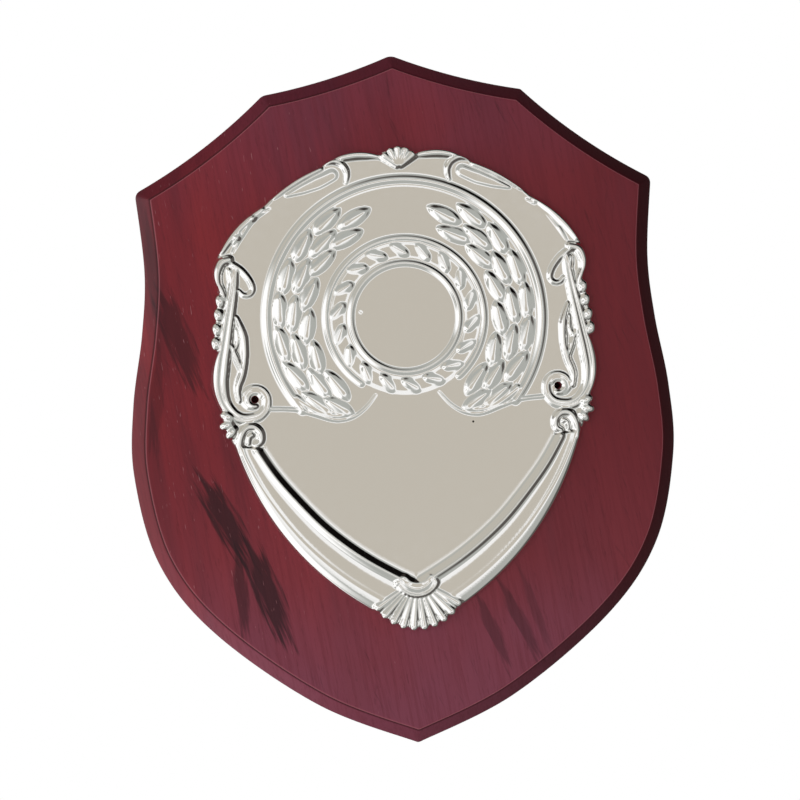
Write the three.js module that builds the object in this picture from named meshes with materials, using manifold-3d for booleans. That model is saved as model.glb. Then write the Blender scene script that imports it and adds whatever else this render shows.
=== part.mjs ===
// Wooden heraldic shield plaque with a pressed metal front.
// Millimetres, +Z up. The back of the board lies in the plane y = 0 against the wall, the front looks along -Y,
// and the origin is on the back of the board, at the middle of its height and width.
// Every shape is first drawn flat: x across, y up the plaque, z out of the wall. It is stood up at the end.

import * as THREE from 'three';
import { mergeVertices } from 'three/addons/utils/BufferGeometryUtils.js';
import Module from 'manifold-3d';

// Board
const BOARD_WIDTH = 127;
const BOARD_HEIGHT = 160;
const BOARD_THICK = 12;
const BEVEL_WIDTH = 3.4; // flat bevel round the front, measured in from the side
const BEVEL_DEPTH = 3.4; // how far the bevel falls back from the quirk
const QUIRK = 0.5; // small step between the bevel and the front face
const BACK_ARRIS = 0.5; // edge taken off the back
const SHOULDER_ROUND = 2.2; // outer corners of the shoulders
const RIGHT_PEAK_ROUND = 0.9; // the right upper corner is crisp
const LEFT_PEAK_ROUND = 3.0; // the left upper corner is sanded round
const TIP_ROUND = 3.2; // top point
const TOE_ROUND = 1.2; // bottom point

// Keyhole slot routed in the back
const KEYHOLE_Z = 46; // middle of the round entry
const KEYHOLE_ENTRY_D = 10;
const KEYHOLE_RISE = 12; // entry middle to slot end
const KEYHOLE_NECK = 5; // width of the slot at the surface
const KEYHOLE_LIP = 2.4; // wood left over the undercut
const KEYHOLE_DEPTH = 7;

// Metal front
const FRONT_WIDTH = 89.8;
const FRONT_HEIGHT = 112.8;
const FRONT_CENTRE_Z = 2.6;
const FRONT_SHIFT_X = 0.4; // fixed a hair right of the middle
const FRONT_TILT_DEG = 0.34; // and turned a hair, as the photograph shows
const FRONT_GAP = 0.3; // adhesive between the metal and the wood
const SHEET = 0.9; // back of the metal to its flat ground
const ROOT = 0.3; // how far above the back each raised form is rooted
const PIN_HOLE_D = 1.8;
const PILOT_HOLE_D = 1.5;
const PILOT_HOLE_DEPTH = 5;

// Rings of the metal front, measured from their shared centre
const RING_CENTRE = [0, 19.4];
const DISC_BEAD_R = 12.9;
const GARLAND_R = 16.1;
const GARLAND_LEAVES = 18;
const INNER_BEAD_R = 18.8;
const OUTER_BEAD_R = 31.9;

// Laurel rows: radius, leaf angles of the left branch, lean of each leaf out from the row
const LAUREL_LEAF = { length: 8.6, halfWidth: 1.45, height: 0.75 };
const LAUREL_ROWS = [
  { radius: 28.6, first: 126, step: 16.2, count: 7, lean: 8.5 },
  { radius: 25.6, first: 115, step: 20.2, count: 7, lean: 0 },
  { radius: 22.4, first: 124, step: 20.1, count: 6, lean: -12 },
];

const rad = THREE.MathUtils.degToRad;
const wasm = await Module();
wasm.setup();

// Solids

function solid(geometry) {
  const bare = geometry.index ? geometry.toNonIndexed() : geometry;
  for (const name of ['normal', 'uv']) {
    if (bare.attributes[name]) bare.deleteAttribute(name);
  }
  const merged = mergeVertices(bare, 1e-4);
  const points = merged.attributes.position;
  const index = Array.from(merged.index.array);
  let volume = 0;
  const a = new THREE.Vector3();
  const b = new THREE.Vector3();
  const c = new THREE.Vector3();
  for (let i = 0; i < index.length; i += 3) {
    a.fromBufferAttribute(points, index[i]);
    b.fromBufferAttribute(points, index[i + 1]);
    c.fromBufferAttribute(points, index[i + 2]);
    volume += a.dot(b.cross(c));
  }
  if (volume < 0) index.reverse();
  return new wasm.Manifold(new wasm.Mesh({
    numProp: 3,
    vertProperties: new Float32Array(points.array),
    triVerts: new Uint32Array(index),
  }));
}

// A closed skin through rings of equal count; the ends are filled, or joined when the run is closed.
function loft(rings, closed = false) {
  const count = rings[0].length;
  const position = rings.flat().flatMap((p) => [p.x, p.y, p.z]);
  const index = [];
  const runs = closed ? rings.length : rings.length - 1;
  for (let k = 0; k < runs; k += 1) {
    const here = k * count;
    const next = ((k + 1) % rings.length) * count;
    for (let i = 0; i < count; i += 1) {
      const j = (i + 1) % count;
      index.push(here + i, here + j, next + j, here + i, next + j, next + i);
    }
  }
  if (!closed) {
    fill(rings[0], 0, true, index);
    fill(rings[rings.length - 1], (rings.length - 1) * count, false, index);
  }
  const geometry = new THREE.BufferGeometry();
  geometry.setAttribute('position', new THREE.Float32BufferAttribute(position, 3));
  geometry.setIndex(index);
  return geometry;
}

// Fills a flat ring that either lies level or stands upright.
function fill(ring, offset, flip, index) {
  const facing = new THREE.Vector3();
  ring.forEach((p, i) => facing.add(p.clone().cross(ring[(i + 1) % ring.length])));
  const flat = Math.abs(facing.z) > Math.hypot(facing.x, facing.y);
  const start = ring[0];
  const last = ring[ring.length - 1];
  const along = new THREE.Vector2(last.x - start.x, last.y - start.y);
  if (!flat && along.length() < 1e-6) along.set(1, 0);
  along.normalize();
  const drawn = ring.map((p) => (flat
    ? new THREE.Vector2(p.x, p.y)
    : new THREE.Vector2((p.x - start.x) * along.x + (p.y - start.y) * along.y, p.z)));
  const turn = THREE.ShapeUtils.area(drawn) > 0;
  for (const face of THREE.ShapeUtils.triangulateShape(drawn, [])) {
    const [a, b, c] = face.map((i) => i + offset);
    if (flip === turn) index.push(a, c, b);
    else index.push(a, b, c);
  }
}

function join(solids) {
  return solids.reduce((whole, next) => whole.add(next));
}

function extruded(shape, from, to, segments = 12) {
  const options = { depth: to - from, bevelEnabled: false, curveSegments: segments };
  return solid(new THREE.ExtrudeGeometry(shape, options).translate(0, 0, from));
}

function drilled(x, y, diameter, from, to, segments = 14) {
  const bore = new THREE.CylinderGeometry(diameter / 2, diameter / 2, to - from, segments);
  return solid(bore.rotateX(Math.PI / 2).translate(x, y, (from + to) / 2));
}

function stoodUp(name, body, material) {
  const { vertProperties, triVerts, numProp } = body.getMesh();
  const geometry = new THREE.BufferGeometry();
  const position = [];
  for (let i = 0; i < vertProperties.length; i += numProp) {
    position.push(vertProperties[i], vertProperties[i + 1], vertProperties[i + 2]);
  }
  geometry.setAttribute('position', new THREE.Float32BufferAttribute(position, 3));
  geometry.setIndex(Array.from(triVerts));
  geometry.rotateX(Math.PI / 2);
  geometry.computeVertexNormals();
  const mesh = new THREE.Mesh(geometry, material);
  mesh.name = name;
  return mesh;
}

// Board outline. The free form is drawn as shares of the half width and half height.

const share = (u, v) => new THREE.Vector2(u * BOARD_WIDTH / 2, v * BOARD_HEIGHT / 2);

const TIP = share(0, 1.0045);
const PEAK = share(0.476, 0.897);
const SHOULDER = share(0.951, 0.625);
const TOE = share(0, -1.001);
const TIP_BOW = -0.9; // hollow of the edge from the top point to the upper corner
const SCALLOP_BOW = -1.3; // hollow of the edge from the upper corner to the shoulder
const SIDE = [
  SHOULDER, share(0.928, 0.4), share(0.946, 0.219), share(0.988, 0.014), share(0.995, -0.19),
  share(0.918, -0.445), share(0.724, -0.655), share(0.36, -0.876), TOE,
];

function bowed(p, q, bow) {
  const across = new THREE.Vector2(-(q.y - p.y), q.x - p.x).normalize();
  const middle = p.clone().add(q).multiplyScalar(0.5).addScaledVector(across, 2 * bow);
  return new THREE.QuadraticBezierCurve(p, middle, q);
}

const flipped = (v) => new THREE.Vector2(-v.x, v.y);

function edge(curve, steps, mirrored) {
  const at = (u) => curve.getPointAt(THREE.MathUtils.clamp(u, 0, 1));
  const along = (u) => curve.getTangentAt(THREE.MathUtils.clamp(u, 0, 1));
  return {
    steps,
    length: curve.getLength(),
    point: (u) => (mirrored ? flipped(at(1 - u)) : at(u)),
    heading: (u) => (mirrored ? flipped(along(1 - u)).negate() : along(u)),
  };
}

function boardEdges() {
  const top = bowed(TIP, PEAK, TIP_BOW);
  const scallop = bowed(PEAK, SHOULDER, SCALLOP_BOW);
  const side = new THREE.SplineCurve(SIDE);
  const half = (mirrored) => [edge(top, 7, mirrored), edge(scallop, 8, mirrored), edge(side, 26, mirrored)];
  return [...half(false), ...half(true).reverse()];
}

// One ring of the board, set in from its outline, with each corner rounded; it lies at height z.
function boardRing(edges, inset, z) {
  const rounds = [RIGHT_PEAK_ROUND, SHOULDER_ROUND, TOE_ROUND, SHOULDER_ROUND, LEFT_PEAK_ROUND, TIP_ROUND];
  const corners = edges.map((here, k) => {
    const next = edges[(k + 1) % edges.length];
    const turn = Math.acos(THREE.MathUtils.clamp(here.heading(1).dot(next.heading(0)), -1, 1));
    const round = Math.max(rounds[k] - inset, 0.4);
    return (inset + round) * Math.tan(turn / 2);
  });
  const runs = edges.map((here, k) => {
    const start = corners[(k + edges.length - 1) % edges.length];
    const run = here.length - start - corners[k];
    const points = [];
    for (let i = 0; i <= here.steps; i += 1) {
      const u = (start + run * i / here.steps) / here.length;
      const heading = here.heading(u);
      points.push(here.point(u).add(new THREE.Vector2(heading.y, -heading.x).multiplyScalar(inset)));
    }
    return { points, first: here.heading(start / here.length), last: here.heading(1 - corners[k] / here.length) };
  });
  const ring = [];
  runs.forEach((run, k) => {
    const next = runs[(k + 1) % runs.length];
    const from = run.points[run.points.length - 1];
    const to = next.points[0];
    const gap = to.clone().sub(from);
    const reach = gap.cross(next.first) / run.last.cross(next.first);
    const knee = from.clone().addScaledVector(run.last, reach);
    ring.push(...run.points.slice(0, -1));
    ring.push(...new THREE.QuadraticBezierCurve(from, knee, to).getPoints(4).slice(0, -1));
  });
  return ring.map((p) => new THREE.Vector3(p.x, p.y, z));
}

function keyhole() {
  const slot = (width, from, to) => {
    const half = width / 2;
    const end = KEYHOLE_Z + KEYHOLE_RISE;
    const shape = new THREE.Shape();
    shape.moveTo(-half, KEYHOLE_Z);
    shape.lineTo(half, KEYHOLE_Z);
    shape.lineTo(half, end);
    shape.absarc(0, end, half, 0, Math.PI);
    shape.closePath();
    return extruded(shape, from, to, 8);
  };
  const entry = drilled(0, KEYHOLE_Z, KEYHOLE_ENTRY_D, -1, KEYHOLE_DEPTH, 24);
  const neck = slot(KEYHOLE_NECK, -1, KEYHOLE_DEPTH - 0.1);
  const undercut = slot(KEYHOLE_ENTRY_D, KEYHOLE_LIP, KEYHOLE_DEPTH);
  return join([entry, neck, undercut]);
}

function shieldBoard() {
  const edges = boardEdges();
  const profile = [
    [BACK_ARRIS, 0],
    [0, BACK_ARRIS],
    [0, BOARD_THICK - QUIRK - BEVEL_DEPTH],
    [BEVEL_WIDTH, BOARD_THICK - QUIRK],
    [BEVEL_WIDTH + 0.1, BOARD_THICK - 0.15],
    [BEVEL_WIDTH + QUIRK, BOARD_THICK],
  ];
  const rings = profile.map(([inset, z]) => boardRing(edges, inset, z));
  let board = solid(loft(rings)).subtract(keyhole());
  for (const [x, y] of pinPlaces()) {
    const [px, py] = onBoard(x, y);
    board = board.subtract(drilled(px, py, PILOT_HOLE_D, BOARD_THICK - PILOT_HOLE_DEPTH, BOARD_THICK + 1, 10));
  }
  const stain = new THREE.MeshStandardMaterial({ color: 0x722c34, roughness: 0.38, metalness: 0 });
  return stoodUp('shield_board', board, stain);
}

// Metal front. The free form is set out on a front 89.8 wide and 112.8 tall whose middle is 2.6 above the
// middle of the board, and it is stretched from there to the stated width and height.

const SET_OUT = { width: 89.8, height: 112.8, middle: 2.6 };

function place(x, y) {
  return new THREE.Vector2(
    x * FRONT_WIDTH / SET_OUT.width,
    (y - SET_OUT.middle) * FRONT_HEIGHT / SET_OUT.height,
  );
}

// From the front's own place to the board: turned, lifted and shifted.
function onBoard(x, y) {
  const turn = rad(FRONT_TILT_DEG);
  return [
    FRONT_SHIFT_X + x * Math.cos(turn) - y * Math.sin(turn),
    FRONT_CENTRE_Z + x * Math.sin(turn) + y * Math.cos(turn),
  ];
}

const PIN = [34.95, 1.7];

function pinPlaces() {
  return [-1, 1].map((side) => place(side * PIN[0], PIN[1]).toArray());
}

// Right half of the outline: corners going down from the middle of the top, each with the bow of the edge
// that leads to it.
const FRONT_CORNERS = [
  [0, 56.8, 0], [4.2, 56.9, 0], [17.2, 54.5, 1.7], [30.6, 46.1, 0.85], [42.3, 34, 1.65], [42.4, 27.4, 0.95],
  [42.7, 13.6, -0.35], [42.7, -0.8, 1.95], [40.3, -8.5, 0.2], [9, -48.9, 5], [0, -51, 0],
];

function frontShape() {
  const shape = new THREE.Shape();
  const right = FRONT_CORNERS.map(([x, y, bow]) => ({ p: new THREE.Vector2(x, y), bow }));
  const left = [...right].reverse().slice(1).map((corner, k) => ({
    p: flipped(corner.p),
    bow: right[right.length - 1 - k].bow,
  }));
  const all = [...right, ...left];
  const start = place(all[0].p.x, all[0].p.y);
  shape.moveTo(start.x, start.y);
  all.slice(1).forEach(({ p, bow }, k) => {
    const curve = bowed(all[k].p, p, bow);
    const steps = bow === 0 ? 1 : Math.max(4, Math.round(curve.getLength() / 2.4));
    const points = curve.getPoints(steps).slice(1).map((q) => place(q.x, q.y));
    points.forEach((q) => shape.lineTo(q.x, q.y));
  });
  return shape;
}

// Cross-sections of raised forms: share of the half width, share of the height.
const ROUND = [[1, 0], [0.75, 0.68], [0, 1], [-0.75, 0.68], [-1, 0]];
const FLAT = [[1, 0], [0.5, 1], [-0.5, 1], [-1, 0]];
const FOLD = [[1, 0], [0, 1], [-1, 0]];

// A raised form along a drawn path. size(s) gives its half width and height at share s of the path.
function raised(path, size, section = ROUND, root = ROOT, closed = false) {
  const count = path.length;
  const rings = path.map((p, k) => {
    const before = path[closed ? (k + count - 1) % count : Math.max(k - 1, 0)];
    const after = path[closed ? (k + 1) % count : Math.min(k + 1, count - 1)];
    const heading = after.clone().sub(before).normalize();
    const across = new THREE.Vector2(heading.y, -heading.x);
    const [half, height] = size(closed ? 0.5 : k / (count - 1));
    const loop = section.map(([u, v]) => {
      const q = p.clone().addScaledVector(across, u * half);
      return new THREE.Vector3(q.x, q.y, v === 0 ? root : SHEET + v * height);
    });
    return loop;
  });
  return solid(loft(rings, closed));
}

const curved = (points, steps) => new THREE.SplineCurve(points.map(([x, y]) => new THREE.Vector2(x, y)))
  .getSpacedPoints(steps);
const placed = (points) => points.map((p) => place(p.x, p.y));
const mirrored = (points, side) => points.map((p) => new THREE.Vector2(side * p.x, p.y));
const even = (half, height) => () => [half, height];
const tapered = (half, height, ends = 0.35) => (s) => {
  const swell = ends + (1 - ends) * Math.sin(Math.PI * s);
  return [half * swell, height * swell];
};
const growing = (from, to) => (s) => [
  THREE.MathUtils.lerp(from[0], to[0], s),
  THREE.MathUtils.lerp(from[1], to[1], s),
];

function arc(centre, radius, fromDeg, toDeg, steps) {
  const points = [];
  for (let i = 0; i <= steps; i += 1) {
    const angle = rad(THREE.MathUtils.lerp(fromDeg, toDeg, i / steps));
    points.push(new THREE.Vector2(centre[0] + radius * Math.cos(angle), centre[1] + radius * Math.sin(angle)));
  }
  return points;
}

function spiral(centre, fromR, toR, fromDeg, toDeg, steps) {
  return arc(centre, 1, fromDeg, toDeg, steps).map((p, i) => {
    const radius = THREE.MathUtils.lerp(fromR, toR, i / steps);
    return new THREE.Vector2(
      centre[0] + (p.x - centre[0]) * radius,
      centre[1] + (p.y - centre[1]) * radius,
    );
  });
}

function leafAt(radius, angleDeg, leanDeg, leaf, steps = 3) {
  const angle = rad(angleDeg);
  const heading = angle - Math.PI / 2 - rad(leanDeg);
  const middle = new THREE.Vector2(
    RING_CENTRE[0] + radius * Math.cos(angle),
    RING_CENTRE[1] + radius * Math.sin(angle),
  );
  const reach = new THREE.Vector2(Math.cos(heading), Math.sin(heading)).multiplyScalar(leaf.length / 2);
  const path = [];
  for (let i = 0; i <= steps; i += 1) {
    path.push(middle.clone().addScaledVector(reach, 2 * i / steps - 1));
  }
  return path;
}

function rings() {
  const circle = (radius, steps) => placed(arc(RING_CENTRE, radius, 0, 360, steps).slice(0, -1));
  const open = (radius, from, to, steps) => placed(arc(RING_CENTRE, radius, from, to, steps));
  return [
    raised(circle(DISC_BEAD_R, 36), even(0.65, 0.45), FLAT, ROOT, true),
    raised(circle(GARLAND_R, 36), even(2, 0.4), FLAT, ROOT, true),
    raised(open(INNER_BEAD_R, -50, 234, 30), even(0.6, 0.45), FLAT),
    raised(open(OUTER_BEAD_R, -39.5, 219.5, 44), even(1.2, 0.8)),
  ];
}

function garland() {
  const leaf = { length: 5.2, halfWidth: 1.1, height: 0.95 };
  const leaves = [];
  for (let k = 0; k < GARLAND_LEAVES; k += 1) {
    const angle = 90 + k * 360 / GARLAND_LEAVES;
    const path = leafAt(GARLAND_R, angle, 38, leaf, 2);
    leaves.push(raised(placed(path), tapered(leaf.halfWidth, leaf.height), FOLD));
  }
  return leaves;
}

function laurel() {
  const leaves = [];
  for (const side of [-1, 1]) {
    for (const row of LAUREL_ROWS) {
      for (let k = 0; k < row.count; k += 1) {
        const path = leafAt(row.radius, row.first + k * row.step, row.lean, LAUREL_LEAF);
        const shape = tapered(LAUREL_LEAF.halfWidth, LAUREL_LEAF.height, 0.2);
        leaves.push(raised(placed(mirrored(path, -side)), shape, FOLD));
      }
    }
    const stem = curved([[25.5, 1.5], [21, -1.6], [16.5, -2.6], [13.5, -2.2]], 5);
    leaves.push(raised(placed(mirrored(stem, side)), growing([0.7, 0.5], [0.45, 0.3]), FOLD));
  }
  return leaves;
}

// Flutes fan out of a point, each from one radius to another.
function fan(centre, fromR, toR, fromDeg, toDeg, count, half, height) {
  const flutes = [];
  for (let k = 0; k < count; k += 1) {
    const angle = rad(THREE.MathUtils.lerp(fromDeg, toDeg, k / (count - 1)));
    const reach = typeof toR === 'function' ? toR(k / (count - 1)) : toR;
    const path = [fromR, reach - 0.6, reach].map((r) => new THREE.Vector2(
      centre[0] + r * Math.cos(angle),
      centre[1] + r * Math.sin(angle),
    ));
    const size = (s) => (s < 0.4 ? [half * 0.45, height] : [half * (s < 0.9 ? 1 : 0.7), height * (s < 0.9 ? 1 : 0.45)]);
    flutes.push({ path, size });
  }
  return flutes;
}

function shells() {
  const crest = fan([0.3, 53.2], 0.8, 5.4, 38, 142, 5, 1.15, 1.2);
  const toeReach = (s) => 11.4 + 0.9 * Math.sin(Math.PI * s);
  const toe = fan([0, -41.5], 3.6, toeReach, 211, 329, 12, 1.05, 1.25);
  const flutes = [...crest, ...toe].map(({ path, size }) => raised(placed(path), size, FLAT, 0));
  const collars = [[5.2, 0.6, 0.9], [3.7, 0.55, 0.7]].map(([radius, half, height]) => (
    raised(placed(arc([0, -39.9], radius, 212, 328, 8)), tapered(half, height, 0.6), FLAT)
  ));
  return [...flutes, ...collars];
}

const BEADS = [[42.1, 25.2], [42.2, 21.7], [42.4, 18.2], [42.8, 14.7]];

function scrolls(side) {
  const run = (points, size, section, root) => raised(placed(mirrored(points, side)), size, section, root);
  const bar = [[38.6, 31.8], [39.3, 25], [40.2, 18], [41.7, 11], [42.5, 6], [42, 2], [40, -1.3], [37, -2.9]];
  const ear = [[40.8, 33.6], [37.8, 32.2], [35.5, 29.5], [34.9, 26.6], [36.2, 25.4], [38, 26]];
  const curl = [[17, 54.2], [13.6, 54.4], [12.1, 52], [13.4, 49.7], [18, 47.8], [29.5, 46.2]];
  const parts = [
    run(curved(bar, 11), growing([1.15, 0.8], [1.35, 1.1]), FLAT),
    run(spiral(PIN, 4.9, 2.1, -62, -470, 20), growing([1.2, 1.1], [0.5, 0.6]), FLAT),
    run(spiral([36.2, -6.4], 3.1, 0.9, -30, 300, 11), growing([0.9, 1.1], [0.5, 0.7]), FLAT),
    run(curved(ear, 8), tapered(0.55, 0.5, 0.6), FOLD),
    run(curved([[41.2, 34.4], [42.6, 31.4], [42.1, 28.2]], 4), tapered(1, 1, 0.6), FLAT),
    run(curved([[38.1, 20.6], [37.2, 15], [37.6, 9], [38.4, 4]], 5), tapered(1.1, 0.75, 0.2), FOLD),
    run(curved(curl, 11), growing([0.85, 0.9], [0.45, 0.35]), FLAT),
    run(curved([[31.5, 44.2], [36, 40.6], [40.2, 34.8]], 4), tapered(0.9, 0.55, 0.4), FOLD),
  ];
  for (const [x, y] of BEADS) {
    const bead = [-1.55, -0.8, 0.8, 1.55].map((rise) => new THREE.Vector2(x, y + rise));
    parts.push(run(bead, tapered(1.3, 0.9, 0.6), FLAT, 0));
  }
  for (const { path, size } of fan([38.6, -3.2], 1.2, 4.6, -42, 28, 3, 1.15, 0.95)) {
    parts.push(run(path, size, FLAT, 0));
  }
  return parts;
}

// Moulded border of the label field: outer roll, cove, crest and slope, laid along the lower edge.
function border(side) {
  const [from, to] = [FRONT_CORNERS[8], FRONT_CORNERS[9]];
  const curve = bowed(new THREE.Vector2(from[0], from[1]), new THREE.Vector2(to[0], to[1]), to[2]);
  const profile = [[0.15, 0], [0.5, 0.35], [1.3, 0.45], [2.2, 0.12], [4, 0.3], [4.9, 0.85], [5.5, 0.85], [7.3, 0]];
  const steps = 14;
  const section = [];
  for (let i = 0; i <= steps; i += 1) {
    const s = 0.02 + 0.98 * i / steps;
    const p = curve.getPointAt(s);
    const heading = curve.getTangentAt(s);
    const inward = new THREE.Vector2(heading.y, -heading.x);
    const spread = THREE.MathUtils.lerp(0.78, 1.03, Math.min(1.4 * s, 1));
    section.push(profile.map(([inset, height], k) => {
      const q = p.clone().addScaledVector(inward, inset * spread);
      const at = place(side * q.x, q.y);
      const rooted = k === 0 || k === profile.length - 1;
      return new THREE.Vector3(at.x, at.y, rooted ? ROOT : SHEET + height);
    }));
  }
  return solid(loft(section));
}

function pressedFront() {
  let front = extruded(frontShape(), 0, SHEET);
  const forms = [...rings(), ...laurel(), ...garland(), ...shells()];
  for (const side of [-1, 1]) forms.push(...scrolls(side), border(side));
  front = join([front, ...forms]);
  for (const [x, y] of pinPlaces()) front = front.subtract(drilled(x, y, PIN_HOLE_D, -1, 4, 12));
  const silver = new THREE.MeshStandardMaterial({ color: 0xc9c6c0, roughness: 0.12, metalness: 1 });
  const mesh = stoodUp('pressed_metal_front', front, silver);
  mesh.rotation.y = -rad(FRONT_TILT_DEG);
  mesh.position.set(FRONT_SHIFT_X, -(BOARD_THICK + FRONT_GAP), FRONT_CENTRE_Z);
  return mesh;
}

const plaque = new THREE.Group();
plaque.add(shieldBoard(), pressedFront());

export default plaque;
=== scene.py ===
"""Wooden heraldic shield plaque: a stained board with a moulded edge and a pressed silver front.

Drawings are in millimetres: x across, y up the plaque, height out of the wall. The scene is in metres,
+Z up, with the board's back on the wall plane y = 0 and its front looking along -Y.
"""

import logging
import math
from dataclasses import dataclass, field
from enum import Enum
from typing import Any, Iterable, Optional, Sequence

import bmesh
import bpy
import numpy as np
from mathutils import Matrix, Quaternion, Vector
from mathutils.bvhtree import BVHTree
from mathutils.geometry import delaunay_2d_cdt


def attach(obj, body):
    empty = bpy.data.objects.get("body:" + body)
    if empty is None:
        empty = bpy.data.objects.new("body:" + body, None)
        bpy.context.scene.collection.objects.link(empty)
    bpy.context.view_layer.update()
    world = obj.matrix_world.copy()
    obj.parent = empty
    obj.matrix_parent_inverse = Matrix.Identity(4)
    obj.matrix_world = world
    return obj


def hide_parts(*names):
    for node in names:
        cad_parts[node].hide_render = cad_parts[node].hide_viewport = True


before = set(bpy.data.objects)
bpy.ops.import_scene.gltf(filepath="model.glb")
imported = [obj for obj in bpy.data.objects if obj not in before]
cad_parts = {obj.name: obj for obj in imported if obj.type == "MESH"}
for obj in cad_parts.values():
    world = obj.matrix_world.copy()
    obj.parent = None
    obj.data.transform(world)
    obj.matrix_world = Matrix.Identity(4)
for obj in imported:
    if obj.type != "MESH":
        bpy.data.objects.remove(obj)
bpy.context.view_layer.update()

LOG = logging.getLogger("plaque")
MM = 0.001
Mark = tuple[float, float]
Grid = np.ndarray


# Small tools


def linear(code: str, alpha: float = 1.0) -> tuple[float, float, float, float]:
    """Turn an sRGB hex colour into the linear colour that shaders take.

    Args:
        code: Six hex digits, with or without a leading #.
        alpha: Opacity of the colour.

    Returns:
        Linear red, green, blue and alpha.
    """
    digits = code.lstrip("#")
    parts = [int(digits[i : i + 2], 16) / 255 for i in (0, 2, 4)]
    light = [c / 12.92 if c <= 0.04045 else ((c + 0.055) / 1.055) ** 2.4 for c in parts]
    return (light[0], light[1], light[2], alpha)


def add_node(
    tree: bpy.types.NodeTree,
    kind: str,
    inputs: Optional[dict[Any, Any]] = None,
    **settings: Any,
) -> bpy.types.Node:
    """Add a node, with its settings, values and links.

    Args:
        tree: The node tree that takes it.
        kind: Type name of the node.
        inputs: Socket name or place, to a value or to the output socket that feeds it.
        **settings: Properties of the node itself.

    Returns:
        The new node.
    """
    node = tree.nodes.new(kind)
    for name, value in settings.items():
        setattr(node, name, value)
    for key, value in (inputs or {}).items():
        if isinstance(value, bpy.types.NodeSocket):
            tree.links.new(value, node.inputs[key])
        else:
            node.inputs[key].default_value = value
    return node


def mesh_object(name: str, points: np.ndarray, faces: Iterable[Sequence[int]]) -> bpy.types.Object:
    """Make an object from points in millimetres of the scene's frame.

    Args:
        name: Name of the object and its mesh.
        points: One row of x, y, z for each vertex, in millimetres.
        faces: Vertex numbers of each face.

    Returns:
        The linked object.
    """
    mesh = bpy.data.meshes.new(name)
    mesh.from_pydata((np.asarray(points) * MM).tolist(), [], [list(map(int, f)) for f in faces])
    mesh.validate()
    made = bpy.data.objects.new(name, mesh)
    bpy.context.scene.collection.objects.link(made)
    return made


def lofted(name: str, rings: Sequence[np.ndarray], heights: Sequence[float]) -> bpy.types.Object:
    """Make a closed solid through rings that lie flat, one above another, with its faces pointing outwards.

    Args:
        name: Name of the object and its mesh.
        rings: Outlines with the same count of points, from the wall outwards.
        heights: Height of each off the wall.

    Returns:
        The solid.
    """
    count, last = len(rings[0]), len(rings) - 1
    layers = [np.stack([r[:, 0], np.full(count, -out), r[:, 1]], axis=1) for r, out in zip(rings, heights)]
    faces: list[Sequence[int]] = []
    for k in range(last):
        low, high = k * count, (k + 1) * count
        faces += [(low + i, low + (i + 1) % count, high + (i + 1) % count, high + i) for i in range(count)]
    faces += [range(count)[::-1], range(last * count, (last + 1) * count)]
    made = mesh_object(name, np.concatenate(layers), faces)
    shell = bmesh.new()
    shell.from_mesh(made.data)
    bmesh.ops.recalc_face_normals(shell, faces=shell.faces)
    shell.to_mesh(made.data)
    shell.free()
    return made


def circle(middle: Mark, radius: float, steps: int) -> np.ndarray:
    """Outline a circle.

    Args:
        middle: Its middle.
        radius: Its radius.
        steps: How many points it gets.

    Returns:
        The points in order.
    """
    angle = np.linspace(0, 2 * math.pi, steps, endpoint=False)
    return np.stack([middle[0] + radius * np.cos(angle), middle[1] + radius * np.sin(angle)], axis=1)


def wound(points: np.ndarray, faces: np.ndarray, way: int) -> np.ndarray:
    """Turn triangles of a drawing so that they all run the same way round.

    Args:
        points: Points of the drawing.
        faces: The triangles.
        way: 1 for anticlockwise, -1 for clockwise.

    Returns:
        The triangles.
    """
    a, b, c = (points[faces[:, k]] for k in range(3))
    area = (b - a)[:, 0] * (c - a)[:, 1] - (b - a)[:, 1] * (c - a)[:, 0]
    wrong = area * way < 0
    faces[wrong] = faces[wrong][:, ::-1]
    return faces


def enclosed(starts: np.ndarray, ends: np.ndarray, points: np.ndarray) -> np.ndarray:
    """Tell which points lie inside closed loops, by the edges that each has to its right.

    Args:
        starts: Where each edge of the loops starts, one row each.
        ends: Where each edge ends.
        points: The points, one row each.

    Returns:
        True for each point inside.
    """
    box = ((points >= starts.min(axis=0)) & (points <= starts.max(axis=0))).all(axis=1)
    x, y = points[box, 0], points[box, 1]
    within = np.zeros(len(x), bool)
    for a, b in zip(starts, ends):
        if a[1] == b[1]:
            continue
        between = (a[1] > y) != (b[1] > y)
        within ^= between & (x < a[0] + (y - a[1]) * (b[0] - a[0]) / (b[1] - a[1]))
    found = np.zeros(len(points), bool)
    found[box] = within
    return found


def baked(source: bpy.types.Object) -> bpy.types.Mesh:
    """Return what an object looks like after its modifiers, as a plain mesh."""
    graph = bpy.context.evaluated_depsgraph_get()
    return bpy.data.meshes.new_from_object(source.evaluated_get(graph), depsgraph=graph)


def discard(things: Iterable[bpy.types.Object]) -> None:
    """Remove helper objects and their meshes.

    Args:
        things: The helpers.
    """
    for thing in things:
        mesh = thing.data
        bpy.data.objects.remove(thing)
        if mesh is not None and mesh.users == 0:
            bpy.data.meshes.remove(mesh)


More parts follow.
